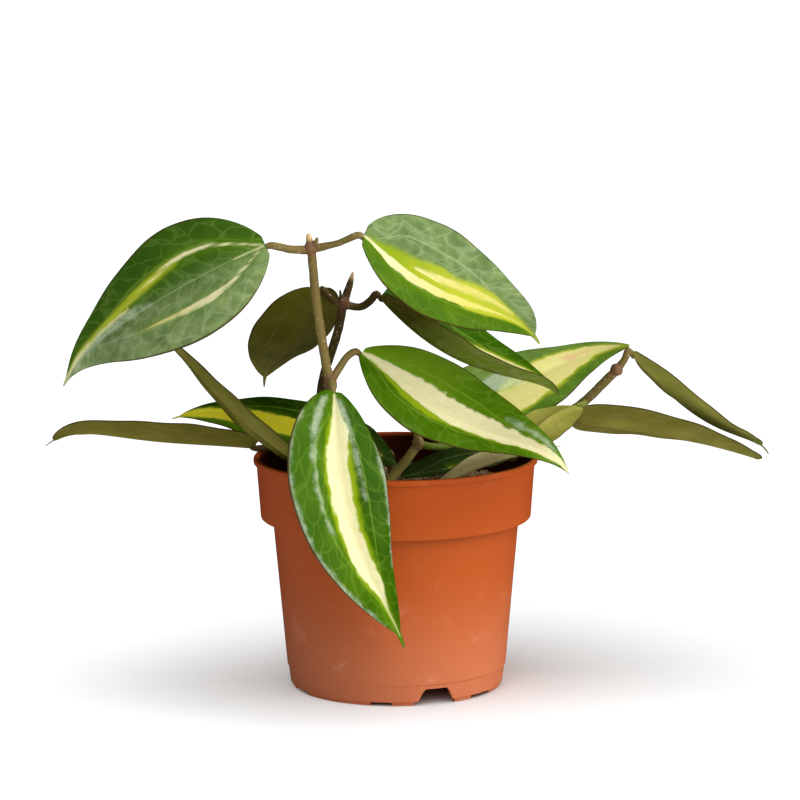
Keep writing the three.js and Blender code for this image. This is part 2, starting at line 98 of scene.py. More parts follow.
def make_camera():
    data = bpy.data.cameras.new("camera")
    data.sensor_width = SENSOR
    data.lens = FOCAL_PIXELS / IMAGE_PIXELS * SENSOR
    data.clip_end = VIEW_END
    camera = bpy.data.objects.new("camera", data)
    tilt = Matrix.Rotation(math.radians(90 - PITCH), 4, "X")
    roll = Matrix.Rotation(math.radians(ROLL), 4, "Z")
    camera.matrix_world = Matrix.Translation(Vector(place(CAMERA_AT))) @ (tilt @ roll)
    bpy.context.scene.collection.objects.link(camera)
    bpy.context.scene.camera = camera


# ---------------------------------------------------------------- leaves

# The blades' shapes are the solids' own, see leaf_surface. The columns of LEAF_TABLE:
# where the blade starts and ends, its roll about that line in degrees, its width, how
# full its base and how tapered its tip is, the length of its drawn-out point, how far
# its midrib bows up and sways sideways, the fold between its halves and the twist along
# it in degrees, how far it hooks and bends near the tip, and how much wider the +u half
# is. All but the places, the width and the degrees are shares of the length or width.
LEAF_COLUMNS = (
    "base", "tip", "roll", "width", "base_full", "tip_taper",
    "drip", "bow", "sway", "fold", "twist", "hook", "bend", "lean")
LEAF_TABLE = {
    "leaf_top_left": (
        (-51.2, -43, 193.2), (-137.2, -32, 132.8), -60, 51, 0.66, 1.25,
        0.03, 0.09, 0.017, 3.5, 0, -0.04, 0.055, 0.01),
    "leaf_top_right": (
        (-13.4, -44, 197.2), (59.3, -49.7, 152.2), 40, 46.8, 0.56, 0.84,
        0.052, -0.071, -0.054, 11.8, 0, -0.008, -0.057, -0.02),
    "leaf_front": (
        (-24.8, -55, 135.4), (3.4, -63.8, 28.9), 40, 44, 0.685, 1.17,
        0.074, 0.083, 0.142, 12, 1.6, 0.034, -0.006, 0.147),
    "leaf_center_right": (
        (-14.7, -38.3, 148.4), (70.8, -65.8, 101.2), 31, 43.3, 0.74, 1.24,
        0.01, -0.082, -0.012, 11, -4, 0.08, 0.009, -0.02),
    "leaf_folded_right": (
        (-6, 1.1, 167.1), (69.9, 15.2, 120.3), 10.4, 51, 0.56, 1.1,
        0.027, -0.087, 0.017, 30, -11, 0.062, 0.055, -0.027),
    "leaf_back_drooping": (
        (-31.2, 2.4, 169.2), (-57.5, 66.8, 116.3), 4.5, 35, 0.46, 0.765,
        0.066, -0.063, -0.018, 14.4, 8.5, 0.065, -0.008, -0.05),
    "leaf_far_right_upper": (
        (99.4, -3.5, 143.3), (162, 45.8, 89.3), 8.4, 38.8, 0.72, 1,
        0.096, -0.066, 0.066, 6.4, -7, 0.037, 0, 0.02),
    "leaf_far_right_lower": (
        (75.3, 6.2, 112), (158.1, 45, 87.5), -18.4, 41.2, 0.34, 0.92,
        0, -0.004, 0.105, 8, 20, -0.011, 0.032, -0.075),
    "leaf_right_back": (
        (78.1, -8.5, 119.6), (48.7, -40, 106), 167, 20.7, 0.62, 0.54,
        0.03, -0.062, -0.051, 3.3, -4.5, 0.027, 0.026, 0),
    "leaf_right_pale": (
        (15.2, 41.8, 102.4), (104.1, 78.1, 132.9), 29.5, 44.8, 0.46, 1.07,
        0, -0.019, -0.057, 2.8, -1.4, -0.031, -0.051, 0.066),
    "leaf_left_rising": (
        (-32.4, -37, 98), (-99.1, -13.5, 152.3), 30.6, 44.7, 0.47, 0.78,
        0.06, -0.036, 0.024, 0.3, 5.4, 0.025, -0.004, -0.03),
    "leaf_left_low": (
        (-58.5, 8, 101.4), (-148, -5.1, 103), 20.5, 40, 0.42, 0.58,
        0.046, 0.011, -0.055, 11.2, 5, 0.045, -0.053, 0.11),
    "leaf_left_inner": (
        (-10, 31.3, 91.8), (-97, 34, 108.1), -18.7, 45, 0.47, 0.96,
        0.044, 0.076, 0.019, 2.8, 3.2, 0.015, 0.015, -0.02),
    "leaf_inner_small": (
        (-34.5, -9.5, 115.5), (1.5, -14, 96.3), 30, 24, 0.58, 0.79,
        0.04, 0.028, 0.049, 8, 0, 0, 0, 0),
    "leaf_inner_dark": (
        (50.2, 15, 95.3), (1, -25, 92.7), -7, 24, 0.55, 0.8,
        0.02, 0.01, -0.05, 8, 0, 0, 0, 0.35),
    "leaf_rim_right": (
        (14, -40, 91.4), (70.6, 2, 101.3), -32, 22, 0.55, 0.9,
        0.05, 0.04, 0, 8, 0, 0, 0, 0.4),
}
LEAVES = {name: dict(zip(LEAF_COLUMNS, row)) for name, row in LEAF_TABLE.items()}

# Bands of color. Along a blade t runs from 0 at the base to 1 at the tip, and across it
# u runs from -1 to 1. A band is a list of (t, low u, high u), all in hundredths.
# The pale center.
CREAM = {
    "leaf_top_left": [
        [(4, -17, -10), (10, -35, -28), (18, -48, -40), (28, -53, -41), (38, -50, -40), (46, -46, -40),
         (58, -42, -40)],
        [(2, 8, 14), (10, 26, 32), (20, 38, 44), (34, 38, 46), (42, 34, 42), (50, 30, 35),
         (60, 26, 30)],
        [(60, 16, 19), (70, 13, 20), (80, 10, 20), (90, 5, 30), (100, -30, 60)],
        [(2, -2, 2), (14, -1, 1)],
    ],
    "leaf_top_right": [
        [(0, -10, 10), (6, 0, 20), (15, 12, 40), (30, 20, 46), (45, 20, 42), (58, 12, 36), (68, 8, 26),
         (78, 4, 14), (88, 0, 5)],
        [(30, -3, 2), (40, -10, 3), (50, -15, -2), (60, -20, -6), (70, -24, -12), (82, -18, -10)],
    ],
    "leaf_front": [
        [(2, -12, 8), (8, -20, 6), (14, -34, 10), (20, -24, 22), (35, -18, 26), (50, -17, 28),
         (60, -20, 31), (68, -28, 31), (73, -31, 22), (77, -24, 6), (82, -10, 4)],
        [(70, -8, 4), (78, -4, 6), (88, -2, 5), (94, 0, 3)],
    ],
    "leaf_center_right": [
        [(0, -20, 10), (6, -26, -2), (15, -28, 4), (30, -30, 20), (45, -30, 30), (60, -30, 34),
         (72, -30, 44), (85, -30, 44), (94, -50, 60), (100, -70, 70)],
    ],
    "leaf_folded_right": [
        [(40, -30, -26), (50, -36, -28), (62, -40, -28), (76, -42, -28), (88, -40, -10), (95, -20, 10)],
    ],
    "leaf_back_drooping": [[(10, -10, 12), (40, -20, 20), (80, -10, 10)]],
    "leaf_far_right_upper": [[(20, -10, 20), (50, -20, 25), (85, -10, 10)]],
    "leaf_far_right_lower": [[(10, -10, 15), (50, -25, 20), (85, -10, 10)]],
    "leaf_right_back": [[(10, -15, 15), (50, -30, 20), (85, -10, 10)]],
    "leaf_right_pale": [
        [(2, -10, 10), (20, -20, 40), (35, 0, 66), (45, 2, 66), (54, 2, 60), (58, -36, 60),
         (70, -48, 54), (80, -54, 42), (88, -50, 16), (96, -40, 0)],
    ],
    "leaf_left_rising": [[(10, -15, 15), (50, -30, 30), (85, -10, 10)]],
    "leaf_left_low": [[(10, -15, 15), (50, -25, 25), (85, -10, 10)]],
    "leaf_left_inner": [
        [(20, -40, 10), (42, -50, 20), (60, -50, 22), (75, -55, 24), (90, -70, 30), (100, -100, 70)],
    ],
    "leaf_inner_small": [[(5, -10, 10), (40, -20, 15), (80, -5, 5)]],
    "leaf_inner_dark": [[(30, -3, 3), (60, 0, 0)]],
    "leaf_rim_right": [[(10, -10, 10), (50, -20, 20), (85, -10, 10)]],
}

# The yellow-green fringe of the cream.
LIME = {
    "leaf_top_left": [
        [(34, 34, 45), (45, 28, 43), (60, 22, 37), (70, 17, 33), (80, 15, 32), (92, 20, 40)],
    ],
    "leaf_top_right": [
        [(4, -6, 10), (15, -12, 20), (30, -16, 30), (42, -26, 30), (50, -20, 30), (60, -30, 44),
         (70, -34, 42), (82, -20, 30), (92, -12, 20), (99, -30, 30)],
    ],
    "leaf_front": [
        [(10, -20, 14), (20, -31, 26), (30, -30, 31), (50, -25, 34), (70, -34, 37), (77, -20, 16),
         (90, -5, 12)],
    ],
    "leaf_center_right": [
        [(3, -20, 6), (12, -10, 16), (25, 0, 36), (40, 0, 44), (52, 10, 36), (70, 10, 46),
         (90, -34, 50)],
    ],
    "leaf_folded_right": [
        [(38, -30, -26), (60, -44, -26), (76, -47, -26), (90, -50, 0), (100, -50, 40)],
    ],
    "leaf_right_pale": [[(35, 0, 72), (60, -46, 66), (80, -60, 50), (90, -56, 30), (100, -40, 20)]],
    "leaf_left_inner": [[(20, -50, 14), (50, -56, 22), (80, -65, 30), (100, -100, 70)]],
}

# Painted sheen: where the upper side gets whitish bands that stand in for gloss reflections. On
# leaf_top_left the band near the tip is partly the leaf's own whitish-gray wedge.
PAINTED_SHEEN = {
    "leaf_top_left": [[(50, 0, 3), (60, -2, 14), (72, -5, 14), (86, -20, 20), (100, -80, 50)]],
    "leaf_front": [
        [(4, 42, 56), (10, 44, 62), (17, 48, 58), (30, 50, 53), (50, 47, 48)],
        [(10, 96, 100), (30, 95, 100), (60, 94, 100), (86, 92, 100)],
        [(4, -34, -16), (10, -42, -24), (17, -42, -34), (30, -42, -40), (42, -42, -41)],
        [(20, -100, -94), (30, -100, -90), (45, -100, -95), (70, -100, -97)],
    ],
    "leaf_center_right": [[(66, -54, -48), (76, -64, -50), (84, -66, -54), (90, -62, -56)]],
    "leaf_right_pale": [[(34, -40, -10), (42, -50, 2), (56, -34, 0)]],
}

# How gray-green and how light the upper side is, each for the -u and the +u half, how
# light the underside is, how yellow the cream is, and the upper side's roughness and how
# far its halves puff up. The gray-green is partly the leaf's own silvery tone and partly
# a painted reflection of the light.
LOOK = {
    "leaf_top_left": ((0.95, 0.1), (0.2, -0.1), 0.5, 0.5, 0.4, 0.05),
    "leaf_top_right": ((0.85, 0.0), (0.15, 0.4), 0.5, 0.6, 0.42, 0.05),
    "leaf_front": ((0.0, 0.0), (-0.1, 0.2), 0.5, 0.0, 0.24, 0.1),
    "leaf_center_right": ((0.0, 0.0), (0.3, 0.3), 0.5, 0.0, 0.28, 0.06),
    "leaf_folded_right": ((0.0, 0.0), (-0.1, 0.0), 0.3, 0.2, 0.34, 0.05),
    "leaf_right_pale": ((0.3, 0.1), (0.5, 0.3), 0.5, 0.42, 0.35, 0.05),
    "leaf_left_inner": ((0.0, 0.0), (0.3, -0.6), 0.5, 1.0, 0.35, 0.05),
    "leaf_inner_small": ((0.1, 0.1), (-0.2, -0.2), 0.5, 0.5, 0.3, 0.05),
    # Painted shade: this leaf, low among the others, is made much darker on both halves.
    "leaf_inner_dark": ((0.2, 0.2), (-0.9, -0.9), 0.3, 0.2, 0.25, 0.05),
    # Painted light: this leaf's underside is made very light to lift the shade it lies in.
    "leaf_rim_right": ((0.2, 0.2), (0.0, 0.0), 2.0, 0.2, 0.35, 0.05),
}
# Leaves that show their underside to the front, and how light it is.
TURNED = {
    "leaf_back_drooping": 0.5, "leaf_far_right_upper": 0.88, "leaf_far_right_lower": 0.62,
    "leaf_right_back": 0.78, "leaf_left_rising": 0.55, "leaf_left_low": 0.42,
}
LOOK.update({name: ((0.2, 0.2), (0.4, 0.4), under, 0.2, 0.35, 0.05) for name, under in TURNED.items()})

# From which t to which the underside turns green, and the cream yellow. Without a row,
# the underside never does, and the cream is as yellow as LOOK says all along.
FRESH = {"leaf_folded_right": (0.18, 0.5)}
MOST_FRESH = 0.92
YELLOW = {"leaf_top_left": (0.3, 0.5), "leaf_top_right": (0.15, 0.55)}

# Painted light: how much lighter the -u half of the upper side is made at its base, and up to which t, to
# lift the shadow that the leaves above cast there.
PAINTED_BASE_LIGHT = {"leaf_center_right": 1.3}
PAINTED_BASE_LIGHT_END = 0.5

# Where the cream has a pink flush.
FLUSH = {"leaf_right_pale": [[(70, -30, -10), (76, -30, 0), (84, -30, -14)]]}

BLADE_ROWS = 84
BLADE_COLUMNS = 32
BLADE_THICKNESS = 1.0
MARGIN_THICKNESS = 0.5
TIP_WIDTH = 0.07
TIP_FULLNESS = 0.12
FULLNESS_START = 0.72
FULLNESS_SPAN = 0.2
NARROWEST = 0.16
BLADE_START = 0.012
BLADE_END = 0.994
MARGIN_ROUNDING = 0.03
END_ROUNDING = 0.01
RIDGE_WIDTH = 1.0
WAVE_HEIGHT = 0.4
GROOVE_DEPTH = 0.35
GROOVE_WIDTH = 1.1
EDGE_NUMBER = 0.9999
FRINGE = 6
HALF_SHARPNESS = 14
FAR_OUTSIDE = -30.0
PAST_END_SLOPE = 100
PATTERN_STEP = 130


def half_width(leaf, t):
    widest = leaf["base_full"] / (leaf["base_full"] + leaf["tip_taper"])
    body_t = np.minimum(t / (1 - leaf["drip"]), 1)
    toward_base = (body_t / widest) ** leaf["base_full"]
    toward_tip = ((1 - body_t) / (1 - widest)) ** leaf["tip_taper"]
    body = toward_base * toward_tip
    point = TIP_WIDTH * np.sqrt(np.maximum(1 - t, 0)) * np.minimum(3 * t, 1)
    rise = np.clip((t - FULLNESS_START) / FULLNESS_SPAN, 0, 1)
    point = point + TIP_FULLNESS * np.sqrt(np.maximum(1 - t, 0)) * rise * rise * (3 - 2 * rise)
    return np.maximum(leaf["width"] / 2 * (body + point), NARROWEST)


def leaf_surface(leaf, t, u, seed, puff=0.05):
    """Middle surface of a blade, in millimetres: points, normals, distances across and along."""
    base = np.array(leaf["base"], float)
    along = np.array(leaf["tip"], float) - base
    length = np.linalg.norm(along)
    e = along / length
    up = np.array([0, 0, 1.0]) - e[2] * e
    up /= np.linalg.norm(up)
    side = np.cross(e, up)
    roll = math.radians(leaf["roll"])
    n = up * math.cos(roll) + side * math.sin(roll)
    s = side * math.cos(roll) - up * math.sin(roll)

    def midrib(t):
        t = t[..., None]
        arc = 4 * t * (1 - t) * length
        end = t**5 * (1 - t) * length / 0.067
        lift = n * leaf["bow"] + s * leaf["sway"]
        return base + along * t + lift * arc + (n * leaf["hook"] + s * leaf["bend"]) * end

    tangent = midrib(t + 0.01) - midrib(t - 0.01)
    tangent /= np.linalg.norm(tangent, axis=-1)[..., None]
    turn = np.radians(leaf["twist"]) * (t - 0.4)
    across = s * np.cos(turn)[..., None] - n * np.sin(turn)[..., None]
    across -= (across * tangent).sum(-1)[..., None] * tangent
    across /= np.linalg.norm(across, axis=-1)[..., None]
    normal = np.cross(across, tangent)
    w = half_width(leaf, t)
    reach = w * (1 + np.sign(u) * leaf["lean"]) * np.abs(u)
    fold = math.radians(leaf["fold"])
    lift = reach * math.sin(fold) + puff * w * 4 * np.abs(u) * (1 - np.abs(u))
    wave = WAVE_HEIGHT * np.sin(t * 19 + seed * 2.3 + 1.7 * np.sign(u)) * np.sin(t * 7 + seed)
    wave = wave * np.abs(u) ** 3
    groove = -GROOVE_DEPTH * np.exp(-((reach / GROOVE_WIDTH) ** 2)) * (1 - t)
    lift = lift + wave * np.minimum(w / 10, 1) + groove
    sideways = np.sign(u) * reach
    points = midrib(t) + across * (sideways * math.cos(fold))[..., None] + normal * lift[..., None]
    return points, normal, sideways, t * length


def band_depth(bands, t, u, w):
    """How far inside the nearest band each point is, and half that band's width, in millimetres."""
    best = np.full(t.shape, FAR_OUTSIDE)
    wide = np.full(t.shape, 3.0)
    for band in bands:
        ts, lows, highs = (np.array(v) / 100 for v in zip(*band))
        low = np.interp(t, ts, lows)
        high = np.interp(t, ts, highs)
        inside = np.minimum(u - low, high - u) * w
        past = np.maximum(np.maximum(ts[0] - t, t - ts[-1]), 0) * PAST_END_SLOPE
        nearer = inside - past > best
        best = np.where(nearer, inside - past, best)
        wide = np.where(nearer, (high - low) * w / 2, wide)
    return best, wide


def new_mesh(name, points, faces):
    mesh = bpy.data.meshes.new(name)
    mesh.from_pydata([tuple(p) for p in points], [], faces)
    mesh.validate()
    piece = bpy.data.objects.new(name, mesh)
    bpy.context.scene.collection.objects.link(piece)
    return piece


def set_attribute(mesh, name, values):
    layer = mesh.attributes.new(name, "FLOAT", "POINT")
    layer.data.foreach_set("value", np.asarray(values, np.float32))


def set_uv(mesh, name, per_vertex):
    layer = mesh.uv_layers.new(name=name)
    index = np.zeros(len(mesh.loops), np.int32)
    mesh.loops.foreach_get("vertex_index", index)
    layer.data.foreach_set("uv", np.asarray(per_vertex, np.float32)[index].ravel())


def ring_faces(rings, sides, first=0):
    """Faces between rings of points that follow each other from point first on."""
    faces = []
    for k in range(rings - 1):
        low = first + k * sides
        high = low + sides
        for i in range(sides):
            j = (i + 1) % sides
            faces.append((low + i, low + j, high + j, high + i))
    return faces


def capped_faces(rings, sides):
    """Faces of a closed solid of one point, rings of points and one more point."""
    faces = ring_faces(rings, sides, 1)
    last = 1 + rings * sides
    for i in range(sides):
        j = (i + 1) % sides
        faces.append((0, 1 + j, 1 + i))
        faces.append((last, last - sides + i, last - sides + j))
    return faces


def block_faces(count):
    """Faces of a block between two outlines of count points each."""
    sides = [(i, (i + 1) % count, (i + 1) % count + count, i + count) for i in range(count)]
    return [tuple(range(count))[::-1], tuple(range(count, 2 * count)), *sides]


def full_turn(count):
    return np.linspace(0, 2 * np.pi, count, endpoint=False)


def circle(radius, z, count):
    return [(radius * math.cos(a), radius * math.sin(a), z) for a in full_turn(count)]


class Parts:
    """Closed forms joined into one mesh, with named values at their points."""

    def __init__(self):
        self.points = []
        self.faces = []
        self.values = {}
        self.total = 0

    def add(self, points, faces, **values):
        self.points.append(points)
        self.faces.extend(tuple(v + self.total for v in face) for face in faces)
        self.total += len(points)
        for name, value in values.items():
            self.values.setdefault(name, []).append(np.full(len(points), value))

    def build(self, name):
        piece = new_mesh(name, place(np.concatenate(self.points)), self.faces)
        for kind, values in self.values.items():
            set_attribute(piece.data, kind, np.concatenate(values))
        return piece


def halves(pair, blend):
    """A value for the -u half and one for the +u half, blended at the midrib."""
    return pair[0] * (1 - blend) + pair[1] * blend


def ramp(t, ends):
    return np.clip((t - ends[0]) / (ends[1] - ends[0]), 0, 1)


def blade_values(name, t, u, w, across, along, seed):
    """What the materials read at each point of a blade."""
    cream, wide = band_depth(CREAM[name], t, u, w)
    wider = [[(at, low - FRINGE, high + FRINGE) for at, low, high in band] for band in CREAM[name]]
    blend = 1 / (1 + np.exp(-u * HALF_SHARPNESS))
    gray_and_sheen, light, under, warm, rough, _ = LOOK[name]
    # painted light that lifts the shadow cast on the leaf's base
    painted_base_light = PAINTED_BASE_LIGHT.get(name, 0.0) * np.clip(1 - t / PAINTED_BASE_LIGHT_END, 0, 1) * (1 - blend)
    fresh = ramp(t, FRESH[name]) if name in FRESH else np.zeros(t.shape)
    yellow = ramp(t, YELLOW[name]) if name in YELLOW else np.ones(t.shape)
    return {
        "across_mm": across,
        "along_mm": along + PATTERN_STEP * seed,
        "u": u,
        "t": t,
        "cream": cream,
        "ragged": np.clip(wide / 3, 0.1, 1),
        "lime": band_depth(LIME.get(name, wider), t, u, w)[0],
        # where the painted highlight bands go
        "painted_sheen": band_depth(PAINTED_SHEEN.get(name, []), t, u, w)[0],
        "flush": band_depth(FLUSH.get(name, []), t, u, w)[0],
        "gray_and_sheen": halves(gray_and_sheen, blend),
        "light": halves(light, blend) + painted_base_light,
        "warm": warm * yellow,
        "fresh": np.minimum(fresh, MOST_FRESH),
        "under": np.full(t.shape, under),
        "rough": np.full(t.shape, rough),
    }


def make_leaf(name, leaf, seed):
    s = np.linspace(-1, 1, BLADE_COLUMNS + 1)
    columns = s * (1.4 - 0.4 * s * s)
    even = np.linspace(0, 1, BLADE_ROWS + 1)
    closer_at_ends = 0.35 * even + 0.65 * (0.5 - 0.5 * np.cos(np.pi * even))
    rows = BLADE_START + (BLADE_END - BLADE_START) * closer_at_ends
    t, u = np.meshgrid(rows, columns, indexing="ij")
    middle, normal, across, along = leaf_surface(leaf, t, u, seed, LOOK[name][5])
    w = half_width(leaf, t)
    thick = MARGIN_THICKNESS + (BLADE_THICKNESS - MARGIN_THICKNESS) * (1 - np.abs(u))
    thick = thick * np.sqrt(np.clip((1 - np.abs(u)) / MARGIN_ROUNDING, 0, 1))
    thick = thick * np.sqrt(np.clip((BLADE_END - t) / END_ROUNDING, 0, 1)) * np.clip(w / 2.5, 0.35, 1)
    ridge = np.exp(-((across / RIDGE_WIDTH) ** 2)) * (1 - t) ** 1.3
    upper = middle + normal * (thick / 2)[..., None]
    edge = (np.abs(u) > EDGE_NUMBER) | (t > BLADE_END - 1e-9)
    lower = middle - normal * (thick / 2 + np.where(edge, 0, ridge))[..., None]

    above = np.arange(t.size).reshape(t.shape)
    below = np.where(edge, above, -1)
    free = below < 0
    below[free] = t.size + np.arange(int(free.sum()))
    points = np.concatenate([upper.reshape(-1, 3), lower[free]])
    faces = []
    for grid, corners in ((above, (0, 1, 2, 3)), (below, (0, 3, 2, 1))):
        quads = np.stack([grid[:-1, :-1], grid[:-1, 1:], grid[1:, 1:], grid[1:, :-1]], -1)
        faces.extend(quads.reshape(-1, 4)[:, corners].tolist())
    split = len(faces) // 2
    faces.append(above[0].tolist() + below[0][::-1][1:-1].tolist())

    piece = new_mesh(name + "_blade", place(points), faces)
    mesh = piece.data

    def both(values):
        return np.concatenate([values.reshape(-1), values[free]])

    set_uv(mesh, "Share", np.stack([both(u) * 0.5 + 0.5, both(t)], -1))
    for kind, values in blade_values(name, t, u, w, across, along, seed).items():
        set_attribute(mesh, kind, both(values))
    material_index = np.zeros(len(mesh.polygons), np.int32)
    material_index[split:] = 1
    mesh.materials.append(UPPER)
    mesh.materials.append(UNDER)
    mesh.polygons.foreach_set("material_index", material_index)
    mesh.shade_smooth()
    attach(piece, "root")
    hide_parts(name)


# ---------------------------------------------------------------- material helpers

class Graph:
    """A short way to write node trees; colors are named from its table of paints."""

    def __init__(self, name, paints):
        self.material = bpy.data.materials.new(name)
        self.material.use_nodes = True
        self.tree = self.material.node_tree
        self.shader = self.tree.nodes["Principled BSDF"]
        self.paints = paints

    def node(self, kind, inputs=(), **settings):
        made = self.tree.nodes.new(kind)
        for key, value in settings.items():
            setattr(made, key, value)
        for key, value in dict(inputs).items():
            self.put(made.inputs[key], value)
        return made

    def put(self, socket, value):
        """Link the socket to a node's output, or set it to a value or a named paint."""
        if isinstance(value, bpy.types.NodeSocket):
            self.tree.links.new(value, socket)
        elif isinstance(value, str):
            socket.default_value = linear(*self.paints[value])
        else:
            socket.default_value = value

    def shade(self, sockets):
        """Put the shader's sockets and return the finished material."""
        for name, value in sockets.items():
            self.put(self.shader.inputs[name], value)
        return self.material

    def attribute(self, name):
        return self.node("ShaderNodeAttribute", attribute_name=name).outputs["Fac"]

    def object_place(self):
        return self.node("ShaderNodeTexCoord").outputs["Object"]

    def math(self, operation, a, b=0.0):
        return self.node("ShaderNodeMath", {0: a, 1: b}, operation=operation).outputs[0]

    def plus(self, a, b):
        return self.math("ADD", a, b)

    def minus(self, a, b):
        return self.math("SUBTRACT", a, b)

    def times(self, a, b):
        return self.math("MULTIPLY", a, b)

    def size(self, a):
        return self.math("ABSOLUTE", a)

    def swing(self, noise_value, range_width):
        """Noise of 0 to 1 spread evenly around 0, over a range that wide."""
        return self.times(self.minus(noise_value, 0.5), range_width)

    def step(self, value, low, high):
        """0 below low, 1 above high, smooth between; falls if high is under low."""
        start, end = (1.0, 0.0) if high < low else (0.0, 1.0)
        made = self.node(
            "ShaderNodeMapRange",
            {"Value": value, "From Min": min(low, high), "From Max": max(low, high),
             "To Min": start, "To Max": end},
            interpolation_type="SMOOTHSTEP")
        return made.outputs["Result"]

    def mix(self, share, a, b):
        return self.node("ShaderNodeMix", {"Factor": share, 6: a, 7: b}, data_type="RGBA").outputs[2]

    def cover(self, color, share, paint, most=1.0):
        """A color with a share of paint over it; where the share is 1, that is most of the paint."""
        return self.mix(share if most == 1.0 else self.times(share, most), color, paint)

    def vector(self, x, y):
        return self.node("ShaderNodeCombineXYZ", {"X": x, "Y": y}).outputs[0]

    def noise(self, where, scale, detail=2.0, rough=0.5):
        inputs = {"Vector": where, "Scale": scale, "Detail": detail, "Roughness": rough}
        return self.node("ShaderNodeTexNoise", inputs).outputs["Fac"]

    def cells(self, where, scale, feature="F1", random=1.0):
        inputs = {"Vector": where, "Scale": scale, "Randomness": random}
        return self.node("ShaderNodeTexVoronoi", inputs, feature=feature).outputs["Distance"]

    def bump(self, height, distance, strength):
        inputs = {"Height": height, "Distance": distance, "Strength": strength}
        return self.node("ShaderNodeBump", inputs).outputs["Normal"]


# Paints are display colors, 0 to 255.
UPPER_PAINTS = dict(
    deep_green=(22, 42, 0), green=(50, 88, 0), light_green=(104, 138, 22), near_cream=(96, 132, 12),
    gray_green=(94, 116, 66), pale_gray_green=(160, 180, 116), vein=(122, 154, 52),
    gray_vein=(172, 188, 146), lime=(150, 166, 14), dark_lime=(112, 142, 24), warm_lime=(222, 218, 70),
    cream=(229, 224, 186), dark_cream=(213, 206, 141), tan=(226, 196, 152), yellow=(214, 204, 40),
    pink=(208, 130, 120), cream_vein=(170, 176, 90), painted_glint=(206, 216, 190), fleck=(104, 78, 40),
    margin=(66, 40, 18), dot=(200, 206, 190))
UNDER_PAINTS = dict(
    dark_olive=(36, 38, 0), olive=(106, 102, 30), light_olive=(166, 166, 76), pale=(224, 214, 150),
    cream=(142, 128, 60), fresh=(160, 188, 62), fresh_vein=(205, 212, 140), vein=(150, 138, 80),
    net=(150, 140, 76), blush=(104, 68, 46), streak=(150, 128, 84), margin=(62, 40, 14))
STEM_PAINTS = dict(
    bark=(104, 88, 44), light_bark=(138, 118, 64), bright=(196, 182, 104), painted_shade=(50, 34, 8),
    node=(124, 84, 62), green=(112, 132, 40), scar=(196, 182, 150), cut=(214, 180, 130))
POT_PAINTS = dict(
    plastic=(172, 74, 22), light_plastic=(184, 86, 32), collar_less_haze=(166, 66, 6), painted_low_haze=(204, 128, 92),
    dust=(216, 164, 130), speck=(96, 50, 28), inner=(62, 18, 9))
SOIL_PAINTS = dict(peat=(128, 94, 62), light_peat=(216, 184, 140), pale=(196, 168, 120))


def blade_coordinates(g):
    """Millimetres across and along a blade, and both as one place."""
    x = g.attribute("across_mm")
    y = g.attribute("along_mm")
    return x, y, g.vector(x, y)


def vein_net(g, x, y, where):
    """A blade's veins: how much of a long vein or of a cross vein is here, and the puff between."""
    size_u = g.size(g.attribute("u"))
    t = g.attribute("t")
    spread = g.times(g.step(t, 0.0, 0.22), 0.48)
    spread = g.times(spread, g.step(t, 1.05, 0.5))
    spread = g.plus(spread, g.swing(g.noise(where, 0.12, 2.0), 0.08))
    lateral = g.step(g.size(g.minus(size_u, spread)), 0.035, 0.0)
    middle = g.step(g.size(x), 0.8, 0.0)
    main = g.math("MAXIMUM", lateral, middle)

    warp = g.node("ShaderNodeTexNoise", {"Vector": where, "Scale": 0.1, "Detail": 1.0}).outputs["Color"]
    warped = g.node("ShaderNodeVectorMath", {0: warp, 1: (9.0, 9.0, 0.0)}, operation="MULTIPLY").outputs[0]
    slanted = g.vector(x, g.minus(y, g.times(g.size(x), 0.7)))
    spot = g.node("ShaderNodeVectorMath", {0: slanted, 1: warped}, operation="ADD").outputs[0]
    from_wall = g.cells(spot, 0.12, "DISTANCE_TO_EDGE", 0.7)
    return main, g.step(from_wall, 0.075, 0.0), g.step(from_wall, 0.0, 0.45)


